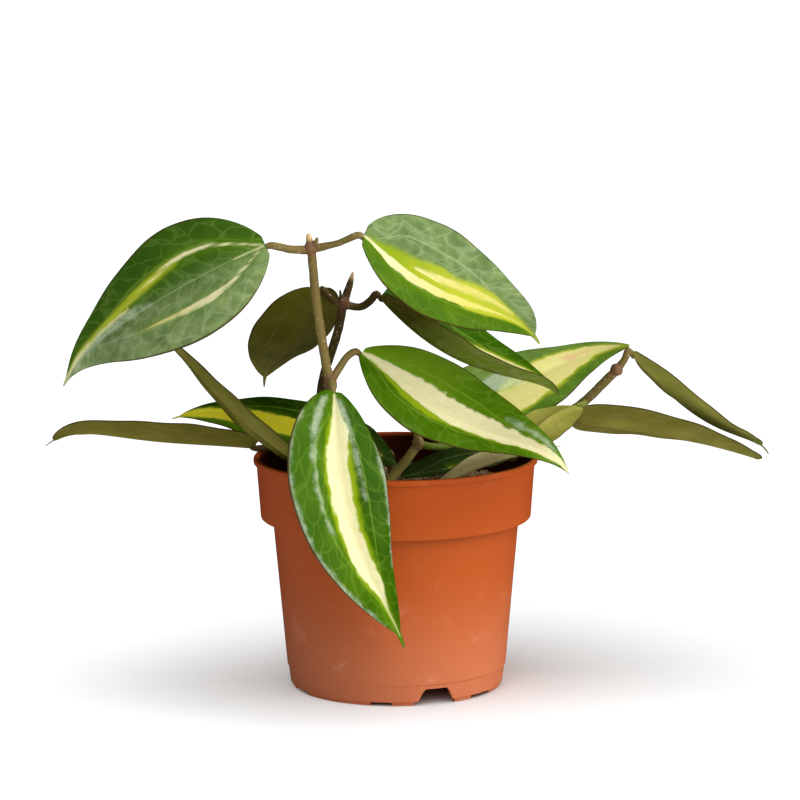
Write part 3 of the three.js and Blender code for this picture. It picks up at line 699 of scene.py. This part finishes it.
def upper_material():
    g = Graph("leaf_upper", UPPER_PAINTS)
    x, y, where = blade_coordinates(g)
    main, net, puff = vein_net(g, x, y, where)
    streak_at = g.vector(g.times(x, 0.55), g.times(g.minus(y, g.size(x)), 0.1))
    ragged = g.noise(where, 0.22, 3.0, 0.55)
    shift = g.plus(g.swing(g.noise(streak_at, 1.0, 3.0, 0.55), 2.2), g.swing(ragged, 3.0))
    shift = g.times(shift, g.attribute("ragged"))
    cream_depth = g.plus(g.attribute("cream"), shift)
    cream = g.step(cream_depth, -0.6, 0.7)
    lime = g.step(g.plus(g.attribute("lime"), shift), -1.3, 1.3)

    light = g.attribute("light")
    gray_and_sheen = g.attribute("gray_and_sheen")
    tone = g.plus(light, g.swing(g.noise(where, 0.07, 3.0), 0.9))
    green = g.mix(g.step(tone, -1.0, 0.2), "deep_green", "green")
    green = g.cover(green, g.step(tone, -0.1, 1.2), "light_green")
    blotch = g.noise(where, 0.22, 2.0)
    mottled = g.plus(tone, g.swing(blotch, 1.5))
    # Gray-green: partly the leaf's own silvery tone, partly a painted reflection.
    green = g.cover(green, gray_and_sheen, g.mix(g.step(mottled, -0.4, 1.3), "gray_green", "pale_gray_green"))
    vein_color = g.mix(gray_and_sheen, "vein", "gray_vein")
    net_seen = g.times(g.plus(0.2, g.times(gray_and_sheen, 0.08)), g.step(light, -1.1, 0.0))
    green = g.cover(green, g.times(net, net_seen), vein_color)
    green = g.cover(green, main, vein_color, 0.42)
    green = g.cover(green, g.step(cream_depth, -5.0, 0.0), "near_cream", 0.3)

    warm = g.attribute("warm")
    lime_color = g.cover(g.mix(blotch, "lime", "dark_lime"), warm, "warm_lime", 0.7)
    color = g.cover(green, lime, lime_color)
    pale = g.mix(g.noise(streak_at, 1.7, 3.0), "cream", "dark_cream")
    pale = g.cover(pale, g.step(g.noise(where, 0.07, 2.0), 0.56, 0.7), "tan", 0.35)
    pale = g.cover(pale, warm, "yellow")
    flush = g.plus(g.attribute("flush"), g.swing(ragged, 9.0))
    pale = g.cover(pale, g.step(flush, -1.5, 2.0), "pink", 0.42)
    color = g.cover(color, cream, pale)
    on_cream = g.times(g.math("MAXIMUM", net, main), g.times(cream, 0.1))
    color = g.cover(color, on_cream, "cream_vein")

    # Painted sheen: grainy whitish bands laid over the color to stand in for gloss reflections.
    grain = g.step(g.noise(where, 1.6, 3.0, 0.7), 0.36, 0.62)
    grain = g.plus(0.45, g.times(grain, 0.55))
    painted_sheen = g.plus(g.attribute("painted_sheen"), g.swing(ragged, 5.0))
    color = g.cover(color, g.times(g.step(painted_sheen, -1.6, 1.4), grain), "painted_glint", 0.58)
    flecks = g.times(g.step(g.cells(where, 0.11), 0.055, 0.03), g.step(ragged, 0.5, 0.56))
    color = g.cover(color, flecks, "fleck", 0.55)
    color = g.cover(color, g.step(g.size(g.attribute("u")), 0.955, 0.985), "margin", 0.85)
    rare = g.step(g.noise(where, 0.06, 1.0), 0.56, 0.62)
    color = g.cover(color, g.times(g.step(g.cells(where, 0.19), 0.065, 0.035), rare), "dot", 0.8)
    film = g.noise(where, 0.15, 3.0)
    height = g.plus(g.times(film, 0.5), g.times(puff, 0.6))
    height = g.minus(height, g.times(main, 0.3))
    return g.shade({
        "Base Color": color,
        "Roughness": g.plus(g.attribute("rough"), g.times(film, 0.1)),
        "Normal": g.bump(height, 0.00035, 0.35),
        "Coat Weight": 0.03,
        "Coat Roughness": 0.1,
        "Specular IOR Level": 0.025,
    })


def under_material():
    g = Graph("leaf_under", UNDER_PAINTS)
    x, y, where = blade_coordinates(g)
    main, net, _ = vein_net(g, x, y, where)
    tone = g.plus(g.attribute("under"), g.swing(g.noise(where, 0.06, 3.0), 0.5))
    color = g.mix(g.step(tone, -0.1, 0.55), "dark_olive", "olive")
    color = g.cover(color, g.step(tone, 0.45, 1.1), "light_olive")
    # The palest stage is painted light: almost only the rim leaf's underside reaches it.
    color = g.cover(color, g.step(tone, 1.1, 2.0), "pale")
    cream = g.plus(g.attribute("cream"), g.times(g.noise(where, 0.25, 3.0), 3.0))
    color = g.cover(color, g.step(cream, -2.0, 4.0), "cream", 0.2)
    color = g.cover(color, g.attribute("fresh"), g.cover("fresh", net, "fresh_vein", 0.5))
    color = g.cover(color, net, "net", 0.08)
    color = g.cover(color, main, "vein", 0.22)
    blush = g.step(g.noise(where, 0.08, 4.0, 0.65), 0.56, 0.76)
    color = g.cover(color, blush, "blush", 0.35)
    streak_at = g.vector(g.times(x, 0.5), g.times(y, 0.06))
    streak = g.step(g.noise(streak_at, 1.0, 3.0, 0.6), 0.52, 0.72)
    color = g.cover(color, streak, "streak", 0.3)
    color = g.cover(color, g.step(g.size(g.attribute("u")), 0.94, 0.985), "margin", 0.8)
    height = g.plus(g.times(net, 0.5), g.times(main, 0.9))
    return g.shade({
        "Base Color": color,
        "Roughness": g.plus(0.42, g.times(tone, 0.1)),
        "Specular IOR Level": 0.06,
        "Normal": g.bump(height, 0.0003, 0.5),
    })


def stem_material():
    g = Graph("stem_bark", STEM_PAINTS)
    where = g.object_place()
    tone = g.noise(where, 60.0, 3.0)
    color = g.mix(tone, "bark", "light_bark")
    # The first two marks are painted light and painted shade; node and green are the bark's own.
    for mark in ("bright", "painted_shade", "node", "green"):
        color = g.cover(color, g.attribute(mark), mark)
    scar = g.step(g.noise(where, 700.0, 2.0, 0.6), 0.62, 0.7)
    color = g.cover(color, scar, "scar", 0.5)
    return g.shade({
        "Base Color": g.cover(color, g.attribute("cut"), "cut"),
        "Roughness": g.plus(0.45, g.times(tone, 0.2)),
        "Specular IOR Level": 0.15,
        "Normal": g.bump(g.noise(where, 900.0, 3.0), 0.0002, 0.5),
    })


def pot_material():
    g = Graph("pot_plastic", POT_PAINTS)
    where = g.object_place()
    broad = g.noise(where, 22.0, 3.0)
    color = g.mix(broad, "plastic", "light_plastic")
    height = g.node("ShaderNodeSeparateXYZ", {0: where}).outputs["Z"]
    # Painted reflection: the collar is painted deeper and the lower body paler, standing in for how much
    # pale haze each reflects.
    color = g.cover(color, g.step(height, 0.064, 0.086), "collar_less_haze", 0.6)
    low = g.step(height, 0.06, 0.0)
    color = g.cover(color, low, "painted_low_haze", 0.55)
    dust = g.step(g.noise(where, 90.0, 5.0, 0.7), 0.56, 0.74)
    color = g.cover(color, g.times(dust, g.plus(0.05, g.times(low, 0.3))), "dust")
    specks = g.step(g.cells(where, 420.0), 0.12, 0.06)
    some = g.step(g.noise(where, 35.0, 2.0), 0.6, 0.7)
    color = g.cover(color, g.times(specks, some), "speck", 0.5)
    grain = g.plus(g.noise(where, 1600.0, 2.0), g.times(broad, 2.0))
    return g.shade({
        # painted shade on the inside walls
        "Base Color": g.cover(color, g.attribute("inner"), "inner"),
        "Roughness": g.plus(0.42, g.times(broad, 0.14)),
        "Specular IOR Level": 0.12,
        "Normal": g.bump(grain, 0.00008, 0.4),
    })


def soil_material():
    g = Graph("peat", SOIL_PAINTS)
    where = g.object_place()
    color = g.mix(g.noise(where, 260.0, 4.0, 0.65), "peat", "light_peat")
    return g.shade({
        "Base Color": g.cover(color, g.attribute("pale"), "pale"),
        "Roughness": 0.95,
        "Normal": g.bump(g.noise(where, 900.0, 4.0, 0.7), 0.0008, 0.8),
    })


UPPER = upper_material()
UNDER = under_material()
STEM = stem_material()
POT = pot_material()
SOIL = soil_material()


# ---------------------------------------------------------------- stems

def tube(*points, leaf=None, green=0.0, cut=0.0):
    """A tube through (x, y, z, radius) with rounded ends. One with a leaf goes on to that
    blade's base and a little way along under it. green and cut color it."""
    return {"points": list(points), "leaf": leaf, "green": green, "cut": cut}


TUBES = {
    "stem_front": [
        tube((-31, -30, 68, 2), (-31, -30, 85, 2), (-30, -34, 98, 2), (-27.5, -42, 120, 1.95),
             (-26.5, -46, 136.4, 2)),
        tube((-26.5, -46, 135, 2), (-29.7, -43.5, 153, 1.95), (-32.3, -41, 172, 1.9),
             (-34.1, -38, 192, 1.8)),
        tube((-26.5, -46, 136.6, 1.7), (-22.5, -42, 142.5, 1.55), (-19.5, -39.3, 146.3, 1.5),
             leaf="leaf_center_right"),
        tube((-26.5, -46, 136.8, 2), (-26, -50.5, 137, 1.9), leaf="leaf_front"),
        tube((-30.3, -32.8, 92.6, 1.7), (-31, -33.8, 94.6, 1.6), leaf="leaf_left_rising"),
        tube((-34.1, -38, 190.3, 1.9), (-42, -40, 190.8, 1.65), leaf="leaf_top_left"),
        tube((-34.1, -38, 190.6, 1.8), (-23, -41, 193.4, 1.35), leaf="leaf_top_right"),
        tube((-34.6, -38, 193, 1.6), (-34.9, -38, 195, 1.3), (-35, -38, 196.2, 1.0), cut=1.0),
        tube((-32.2, -39.5, 193, 1.2), (-31.6, -40, 195, 0.7)),
    ],
    "stem_back": [
        tube((-27.5, 6, 68, 2), (-27.5, 6, 85, 2), (-29.5, 4.5, 98, 2), (-31.5, 3, 114, 1.9),
             (-30.5, 2, 130, 1.9), (-24.5, 3.5, 149, 1.9), (-21.5, 4, 163, 1.9)),
        tube((-21.5, 4, 162.5, 1.8), (-19, 4.7, 170, 1.5), (-17.6, 5, 175, 0.6), cut=0.8),
        tube((-22.6, 2.5, 163, 0.9), (-22.9, 0.5, 168, 0.5)),
        tube((-21.5, 4, 162, 1.6), (-25, 3.2, 163.2, 1.4), (-28.5, 2.4, 166.5, 1.4),
             leaf="leaf_back_drooping"),
        tube((-21.5, 4, 162, 1.8), (-15, 4, 160.8, 1.6), (-10.5, 2.6, 163.4, 1.6),
             leaf="leaf_folded_right"),
        tube((-31.5, 3, 114, 1.6), (-34.5, -2, 115.5, 1.4), leaf="leaf_inner_small"),
        tube((-29.5, 4.5, 97.5, 1.7), (-38, 5.5, 99, 1.5), (-49, 7, 100.2, 1.5), leaf="leaf_left_low"),
    ],
    "stem_right": [
        tube((20, 26, 68, 2), (20, 26, 84, 2), (21, 25.5, 90, 2), (34, 22, 98.6, 1.95),
             (50, 11.5, 104.2, 1.9), (62, 2, 108.5, 1.9), (77, -3, 119, 2.0), (92.7, -5, 134.6, 1.9)),
        tube((92.7, -5, 134.6, 1.9), (96.2, -5, 139.2, 1.5), leaf="leaf_far_right_upper"),
        tube((77, -3, 118.6, 1.8), (78.8, -4, 121, 1.5), (79.2, -6, 121.4, 1.4),
             leaf="leaf_right_back", green=0.6),
        tube((68.5, -0.6, 112, 1.6), (70.5, 5, 112, 1.5), leaf="leaf_far_right_lower"),
        tube((56, 6.5, 105.8, 1.6), (56.5, 14, 102, 1.5), (54, 18.5, 99, 1.5), leaf="leaf_inner_dark"),
        tube((77, -4.2, 118.4, 1.7), (77.6, -5.2, 119.6, 1.1), green=1.0),
    ],
    "stem_short": [
        tube((-5.5, -22.5, 68, 2), (-5.5, -22.5, 84, 2), (-4.5, -22, 89, 2), (-0.5, -22, 94, 1.95),
             (5, -22, 100.5, 1.9), (9.5, -22, 107, 1.9)),
        tube((9.5, -22, 107, 1.7), (9.3, -20, 112, 1.6), (10.5, -17, 117, 1.4), green=0.5),
        tube((9.5, -22, 107, 1.7), (15, -20, 105.3, 1.6), (22, -14, 104.6, 1.6), (24, -2, 105, 1.6),
             (17, 18, 104, 1.5), (11.5, 29.5, 103, 1.5), leaf="leaf_right_pale", green=1.0),
        tube((-4.5, -22, 88.5, 1.6), (2, -36, 88.5, 1.4), (8, -43, 89.6, 1.4), leaf="leaf_rim_right"),
    ],
    "stem_rear": [
        tube((-1.5, 33, 68, 2), (-1.5, 33, 84, 2), (-2, 33, 88, 2), (-3, 32.5, 92.5, 1.9)),
        tube((-3, 32.5, 91.5, 1.6), (-6, 31.8, 91.6, 1.5), leaf="leaf_left_inner"),
    ],
}

# Swellings: (x, y, z, radius, upward stretch), joined to their stem's piece.
KNOTS = {
    "stem_front": [
        (-26.5, -46, 136.4, 2.9, 1.25), (-30.3, -32.8, 93.5, 2.5, 1.2), (-34.1, -38, 191, 2.9, 1.1)],
    "stem_back": [(-21.5, 4, 162.3, 2.8, 1.2), (-31.5, 3, 114, 2.5, 1.2), (-29.5, 4.5, 98, 2.5, 1.2)],
    "stem_right": [(76, -3, 118, 2.5, 1.0), (93, -5, 135, 2.7, 1.0)],
    "stem_short": [(9.5, -22, 107, 2.5, 1.2), (24, -2, 105, 2.2, 1.0)],
    "stem_rear": [(-3, 32.5, 92, 2.4, 1.3)],
}

# Painted shade and painted light on the bark: how much darker a stem is made to look shaded, and how much
# brighter to lift the shade cast on it.
PAINTED_STEM_SHADE = {"stem_back": 0.75, "stem_right": 0.25}
PAINTED_STEM_LIGHT = {"stem_short": 0.95}

TUBE_SIDES = 20
PATH_SPACING = 0.9
CAP_ANGLES = (75, 50, 25)
KNOT_ANGLES = np.linspace(-72, 72, 13)
BARK_ROUGHNESS = 0.14
KNOT_ROUGHNESS = 0.45


def smooth_path(points):
    """Catmull-Rom through rows of (x, y, z, radius), at an even spacing."""
    p = np.array(points, float)
    p = np.vstack([2 * p[0] - p[1], p, 2 * p[-1] - p[-2]])
    out = []
    for i in range(1, len(p) - 2):
        a, b, c, d = p[i - 1:i + 3]
        steps = max(2, int(np.linalg.norm(c[:3] - b[:3]) / PATH_SPACING))
        for k in range(steps):
            t = k / steps
            curve = 2 * b + (c - a) * t + (2 * a - 5 * b + 4 * c - d) * t**2
            out.append(0.5 * (curve + (3 * b - a - 3 * c + d) * t**3))
    out.append(p[-2])
    return np.array(out)


def cap_ring(ring, degrees):
    """The ring that many degrees up a tube's rounded end, or down its start if negative."""
    center, radius, tangent, side, other = ring
    a = math.radians(degrees)
    return center + tangent * radius * math.sin(a), radius * math.cos(a), tangent, side, other


def tube_mesh(path, rounding=True):
    """Points and faces of a closed tube along rows of (x, y, z, radius), its ends rounded or flat."""
    centers, radii = path[:, :3], path[:, 3]
    tangents = np.gradient(centers, axis=0)
    tangents /= np.linalg.norm(tangents, axis=1)[:, None]
    side = np.cross(tangents[0], (0.3, 0.9, 0.2))
    rings = []
    for center, radius, tangent in zip(centers, radii, tangents):
        side = side - side.dot(tangent) * tangent
        side /= np.linalg.norm(side)
        rings.append((center, radius, tangent, side, np.cross(tangent, side)))
    if rounding:
        start = [cap_ring(rings[0], -degrees) for degrees in CAP_ANGLES]
        end = [cap_ring(rings[-1], degrees) for degrees in CAP_ANGLES[::-1]]
        rings = start + rings + end
    points = [center + radius * (np.cos(a) * side + np.sin(a) * other)
              for center, radius, _, side, other in rings for a in full_turn(TUBE_SIDES)]
    faces = ring_faces(len(rings), TUBE_SIDES)
    faces.append(tuple(range(TUBE_SIDES))[::-1])
    faces.append(tuple(range(len(points) - TUBE_SIDES, len(points))))
    return np.array(points), faces


def roughen(points, amount, scale, seed=0.0):
    """Points pushed a little by smooth noise."""
    out = np.array(points, float)
    for k, p in enumerate(points):
        push = noise.noise_vector(Vector((p[0] * scale + seed, p[1] * scale, p[2] * scale)))
        out[k] += np.array(push) * amount
    return out


def stalk_end(leaf_name):
    """The last points of a stalk: just short of its blade's base, then along under the midrib."""
    if leaf_name is None:
        return []
    leaf = LEAVES[leaf_name]
    spots, normals, _, _ = leaf_surface(leaf, np.array([0.0, 0.01, 0.06]), np.zeros(3), 0)
    ahead = spots[2] - spots[0]
    ahead /= np.linalg.norm(ahead)
    first = spots[0] - ahead * 0.8 - normals[0] * 1.1
    second = spots[0] + ahead * 2.6 - normals[1] * 1.3
    return [(*first, 1.5), (*second, 0.9)]


def make_stem(name):
    parts = Parts()
    for part in TUBES[name]:
        path = smooth_path(part["points"] + stalk_end(part["leaf"]))
        points, faces = tube_mesh(path)
        points = roughen(points, BARK_ROUGHNESS, 0.35)
        from_tip = np.linalg.norm(points - path[-1, :3], axis=1)
        cut = part["cut"] * np.clip(1.6 - from_tip / 2.2, 0, 1)
        parts.add(points, faces, green=part["green"], cut=cut)
    for k, (x, y, z, r, stretch) in enumerate(KNOTS[name]):
        path = [(x, y, z + r * stretch * math.sin(a), r * math.cos(a)) for a in np.radians(KNOT_ANGLES)]
        points, faces = tube_mesh(np.array(path), rounding=False)
        parts.add(roughen(points, KNOT_ROUGHNESS, 0.5, 3.0 * k), faces, green=0.0, cut=0.0)
    knots = np.array(KNOTS[name], float)
    points = np.concatenate(parts.points)
    distance = np.linalg.norm(points[:, None] - knots[None, :, :3], axis=2) / knots[None, :, 3]
    piece = parts.build(name + "_bark")
    set_attribute(piece.data, "node", np.clip(1.7 - distance.min(1), 0, 1))
    set_attribute(piece.data, "painted_shade", np.full(len(points), PAINTED_STEM_SHADE.get(name, 0.0)))
    set_attribute(piece.data, "bright", np.full(len(points), PAINTED_STEM_LIGHT.get(name, 0.0)))
    piece.data.materials.append(STEM)
    piece.data.shade_smooth()
    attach(piece, "root")
    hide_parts(name)


# ---------------------------------------------------------------- pot

RIM_RADIUS = 60
POT_HEIGHT = 98
LIP_HEIGHT = 2.4
LIP_OVERHANG = 1.2
WALL = 1.3
COLLAR_TOP_RADIUS = RIM_RADIUS - LIP_OVERHANG
COLLAR_BOTTOM_RADIUS = 57.1
COLLAR_BOTTOM = 72.2
BODY_TOP_RADIUS = 52.1
BASE_LINE_RADIUS = 46.4
BASE_LINE = 9.2
SKIRT_RADIUS = 45
SKIRT_BOTTOM = 1.7
FOOT_RADIUS = 44
FLOOR_THICKNESS = 1.6
BASE_REPEATS = 3
FOOT_GAPS = [(-14.5, -2.5), (9.5, 33.5), (45, 62)]
NOTCH_ANGLE = 21.5
NOTCH_TOP_WIDTH = 10.5
NOTCH_BOTTOM_WIDTH = 18.5
NOTCH_TOP = 7.2
DRAIN_RING_RADIUS = 27
DRAIN_RADIUS = 4
DRAIN_SIDES = 32
POT_SIDES = 192
SHARP_EDGE = 38
CUT_INNER = 38
CUT_OUTER = 50

# (radius, height, rounding of that corner)
POT_PROFILE = [
    (0, BASE_LINE - FLOOR_THICKNESS, 0),
    (SKIRT_RADIUS - 1.2, BASE_LINE - FLOOR_THICKNESS, 0.3),
    (FOOT_RADIUS - 1.6, SKIRT_BOTTOM, 0.2),
    (FOOT_RADIUS - 1.7, 0, 0.2),
    (FOOT_RADIUS - 0.1, 0, 0.35),
    (FOOT_RADIUS, SKIRT_BOTTOM, 0.15),
    (SKIRT_RADIUS, SKIRT_BOTTOM, 0.3),
    (BASE_LINE_RADIUS - 0.45, BASE_LINE - 0.5, 0.2),
    (BASE_LINE_RADIUS, BASE_LINE, 0.25),
    (BODY_TOP_RADIUS, COLLAR_BOTTOM, 0.4),
    (COLLAR_BOTTOM_RADIUS, COLLAR_BOTTOM, 0.9),
    (COLLAR_TOP_RADIUS, POT_HEIGHT - LIP_HEIGHT, 0.4),
    (RIM_RADIUS, POT_HEIGHT - LIP_HEIGHT, 0.5),
    (RIM_RADIUS, POT_HEIGHT, 0.75),
    (RIM_RADIUS - WALL - 0.7, POT_HEIGHT, 0.6),
    (COLLAR_TOP_RADIUS - WALL, POT_HEIGHT - LIP_HEIGHT, 0.8),
    (COLLAR_BOTTOM_RADIUS - WALL, COLLAR_BOTTOM + WALL, 1.0),
    (BODY_TOP_RADIUS - WALL, COLLAR_BOTTOM - 1, 1.0),
    (BASE_LINE_RADIUS - WALL, BASE_LINE, 1.5),
    (0, BASE_LINE, 0),
]


def rounded(profile, steps=5):
    """(radius, height) along a profile, with its corners rounded."""
    out = []
    for k, (r, z, rounding) in enumerate(profile):
        here = np.array([r, z], float)
        if not rounding:
            out.append(here)
            continue
        ends = []
        for corner in (profile[k - 1], profile[k + 1]):
            toward = np.array(corner[:2], float) - here
            length = np.linalg.norm(toward)
            ends.append(here + toward / length * min(rounding, length * 0.45))
        for i in range(steps + 1):
            t = i / steps
            out.append((1 - t) ** 2 * ends[0] + 2 * t * (1 - t) * here + t * t * ends[1])
    return np.array(out)


def lathe(profile, sides):
    """Points and faces of a closed solid of revolution; the profile starts and ends on the axis."""
    points = [(0, 0, profile[0][1])]
    for r, z in profile[1:-1]:
        points.extend(circle(r, z, sides))
    points.append((0, 0, profile[-1][1]))
    return np.array(points, float), capped_faces(len(profile) - 2, sides)


def prism(outline, low, high):
    """Points and faces of an upright block over a closed outline."""
    points = [(x, y, z) for z in (low, high) for x, y in outline]
    return np.array(points, float), block_faces(len(outline))


def around_base(radius, angle):
    """(x, y) at an angle in degrees from the front."""
    a = math.radians(angle)
    return radius * math.sin(a), -radius * math.cos(a)


def pot_cutters():
    """Points and faces of what is cut out of the pot: gaps between feet, notches, drain holes."""
    blocks = []
    right = [(NOTCH_BOTTOM_WIDTH / 2, -1), (NOTCH_TOP_WIDTH / 2 + 0.6, NOTCH_TOP - 1.2),
             (NOTCH_TOP_WIDTH / 2 - 0.6, NOTCH_TOP)]
    left = [(-x, z) for x, z in right]
    corners = left[:1] + right + left[:0:-1]
    for i in range(BASE_REPEATS):
        turn = 360 / BASE_REPEATS * i
        for low, high in FOOT_GAPS:
            spots = [(CUT_INNER, low), (CUT_OUTER, low), (CUT_OUTER + 1, (low + high) / 2),
                     (CUT_OUTER, high), (CUT_INNER, high)]
            outline = [around_base(radius, turn + angle) for radius, angle in spots]
            blocks.append(prism(outline, -1, SKIRT_BOTTOM))
        a = math.radians(NOTCH_ANGLE + turn)
        points = [(x * math.cos(a) - y * math.sin(a), x * math.sin(a) + y * math.cos(a), z)
                  for y in (-CUT_INNER, -CUT_OUTER) for x, z in corners]
        blocks.append((np.array(points), block_faces(len(corners))))
    for x, y in [around_base(DRAIN_RING_RADIUS, 60 * i) for i in range(6)] + [(0, 0)]:
        outline = [(x + DRAIN_RADIUS * math.cos(a), y + DRAIN_RADIUS * math.sin(a))
                   for a in full_turn(DRAIN_SIDES)]
        blocks.append(prism(outline, BASE_LINE - 4, BASE_LINE + 2))
    return blocks


def make_pot():
    points, faces = lathe(rounded(POT_PROFILE), POT_SIDES)
    pot = new_mesh("pot_shell", place(points), faces)
    for k, (points, faces) in enumerate(pot_cutters()):
        cutter = new_mesh(f"cutter_{k}", place(points), faces)
        modifier = pot.modifiers.new("cut", "BOOLEAN")
        modifier.operation = "DIFFERENCE"
        modifier.solver = "EXACT"
        modifier.object = cutter
        graph = bpy.context.evaluated_depsgraph_get()
        mesh = bpy.data.meshes.new_from_object(pot.evaluated_get(graph))
        pot.modifiers.clear()
        pot.data = mesh
        bpy.data.objects.remove(cutter)
    spots = np.zeros(len(pot.data.vertices) * 3)
    pot.data.vertices.foreach_get("co", spots)
    x, y, z = ((spots.reshape(-1, 3) - AXIS) / MM).T
    outside = np.interp(
        z, [0, BASE_LINE, COLLAR_BOTTOM - 0.1, COLLAR_BOTTOM, POT_HEIGHT],
        [FOOT_RADIUS, BASE_LINE_RADIUS, BODY_TOP_RADIUS, COLLAR_BOTTOM_RADIUS, COLLAR_TOP_RADIUS])
    # Painted shade: the pot's inside walls are marked to be painted dark, where the rim and leaves shade
    # them.
    inner = (outside - np.hypot(x, y) > 0.9) & (z > BASE_LINE - 0.2) & (z < POT_HEIGHT - 1.0)
    set_attribute(pot.data, "inner", inner)
    pot.data.materials.clear()
    pot.data.materials.append(POT)
    pot.data.shade_smooth()
    pot.data.set_sharp_from_angle(angle=math.radians(SHARP_EDGE))
    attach(pot, "root")
    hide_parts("pot")


# ---------------------------------------------------------------- soil

SOIL_LEVEL = 84
# (x, y, height, spread)
SOIL_MOUNDS = [(43, -26, 5.5, 13), (-49, -8, 4.5, 11), (-30, -28, 2.5, 16)]
GAP = 0.35
SOIL_SIDES = 150
SOIL_RINGS = 60
CRUMBS = 1300
PALE_CRUMBS = 0.05
CRUMB_ROWS = 5
CRUMB_SIDES = 7


def soil_height(x, y):
    z = SOIL_LEVEL + 0.9 * math.sin(x / 7 + 1) * math.cos(y / 8) + 0.5 * math.sin(x / 3.1 + 2 + y / 4)
    for cx, cy, height, spread in SOIL_MOUNDS:
        z += height * math.exp(-((x - cx) ** 2 + (y - cy) ** 2) / spread**2)
    return z


def wall_radius(z):
    """The radius of the pot's inside at a height."""
    share = (z - BASE_LINE) / (COLLAR_BOTTOM - 1 - BASE_LINE)
    if share <= 1:
        return BASE_LINE_RADIUS + (BODY_TOP_RADIUS - BASE_LINE_RADIUS) * share - WALL
    upper = max(0, (z - COLLAR_BOTTOM - WALL) / (POT_HEIGHT - LIP_HEIGHT - COLLAR_BOTTOM - WALL))
    return COLLAR_BOTTOM_RADIUS + (COLLAR_TOP_RADIUS - COLLAR_BOTTOM_RADIUS) * upper - WALL


def crumb(center, size, seed):
    """Points and faces of a small irregular lump."""
    points = [(0, 0, -1.0)]
    for i in range(1, CRUMB_ROWS):
        a = math.pi * i / CRUMB_ROWS - math.pi / 2
        points.extend(circle(math.cos(a), math.sin(a), CRUMB_SIDES))
    points.append((0, 0, 1.0))
    shape = np.array(points)
    push = np.array([noise.noise(Vector(p * 1.6) + Vector((seed, 0, 0))) for p in shape])
    shape = shape * (1 + 0.5 * push)[:, None] * np.array(size)
    turn = Matrix.Rotation(seed * 2.1, 3, "Z") @ Matrix.Rotation(seed * 1.3, 3, "X")
    return shape @ np.array(turn).T + center, capped_faces(CRUMB_ROWS - 1, CRUMB_SIDES)


def make_soil():
    top = wall_radius(SOIL_LEVEL) - GAP
    heights = (BASE_LINE + GAP, COLLAR_BOTTOM - 1, COLLAR_BOTTOM + WALL + GAP)
    points = [(0, 0, heights[0])]
    for z in heights:
        points.extend(circle(wall_radius(z) - GAP, z, SOIL_SIDES))
    for i in range(SOIL_RINGS, 0, -1):
        for x, y, _ in circle(top * i / SOIL_RINGS, 0, SOIL_SIDES):
            rough = 0.9 * noise.fractal(Vector((x * 0.35, y * 0.35, 4.0)), 0.8, 2.0, 4)
            points.append((x, y, soil_height(x, y) + rough - 0.4))
    points.append((0, 0, soil_height(0, 0)))
    parts = Parts()
    parts.add(np.array(points, float), capped_faces(len(heights) + SOIL_RINGS, SOIL_SIDES), pale=0.0)
    for k in range(CRUMBS):
        r = top * 0.985 * math.sqrt(RNG.random())
        a = RNG.random() * 2 * math.pi
        size = RNG.uniform(0.5, 1.5) * np.array([1, RNG.uniform(0.6, 1), RNG.uniform(0.5, 0.9)])
        r = min(r, top - size.max())
        x, y = r * math.cos(a), r * math.sin(a)
        points, faces = crumb(np.array([x, y, soil_height(x, y) + size[2] * 0.3]), size, k * 0.37)
        parts.add(points, faces, pale=0.5 if RNG.random() < PALE_CRUMBS else 0.0)
    piece = parts.build("soil_peat")
    piece.data.materials.append(SOIL)
    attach(piece, "root")
    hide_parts("soil")


# ---------------------------------------------------------------- stage and light

FLOOR_SIZE = 6.0
FLOOR_COLOR = (0.876, 0.9, 0.91, 1)
SKY = 0.12
# (name, direction toward the light, watts per square metre, width in degrees, what it lights)
SUNS = [
    ("key", (0.66, -0.4, 0.65), 4.05, 80, "plant"),
    ("top", (-0.05, -0.45, 1.0), 4.2, 100, "stage"),
]


def make_floor():
    size = FLOOR_SIZE
    points = [(-size, -size, 0), (size, -size, 0), (size, size, 0), (-size, size, 0)]
    floor = new_mesh("floor", points, [(0, 1, 2, 3)])
    paint = Graph("floor_paint", {})
    floor.data.materials.append(
        paint.shade({"Base Color": FLOOR_COLOR, "Roughness": 0.9, "Specular IOR Level": 0.0}))
    floor.visible_glossy = False


def make_lights():
    world = bpy.data.worlds.new("studio")
    bpy.context.scene.world = world
    world.use_nodes = True
    background = world.node_tree.nodes["Background"]
    background.inputs["Color"].default_value = (1, 1, 1, 1)
    background.inputs["Strength"].default_value = SKY
    world.cycles_visibility.glossy = False
    lit = {kind: bpy.data.collections.new(kind) for kind in ("plant", "stage")}
    for piece in bpy.context.scene.collection.objects:
        if piece.type == "MESH":
            lit["stage" if piece.name == "floor" else "plant"].objects.link(piece)
    for name, toward, power, width, kind in SUNS:
        data = bpy.data.lights.new(name, "SUN")
        data.energy = power
        data.angle = math.radians(width)
        light = bpy.data.objects.new(name, data)
        light.rotation_euler = Vector(toward).to_track_quat("Z", "Y").to_euler()
        light.light_linking.receiver_collection = lit[kind]
        bpy.context.scene.collection.objects.link(light)


scene = bpy.context.scene
scene.view_settings.view_transform = "Standard"
make_camera()
make_floor()
make_pot()
make_soil()
for stem_name in TUBES:
    make_stem(stem_name)
for number, (leaf_name, shape) in enumerate(LEAVES.items()):
    make_leaf(leaf_name, shape, number + 1)
make_lights()
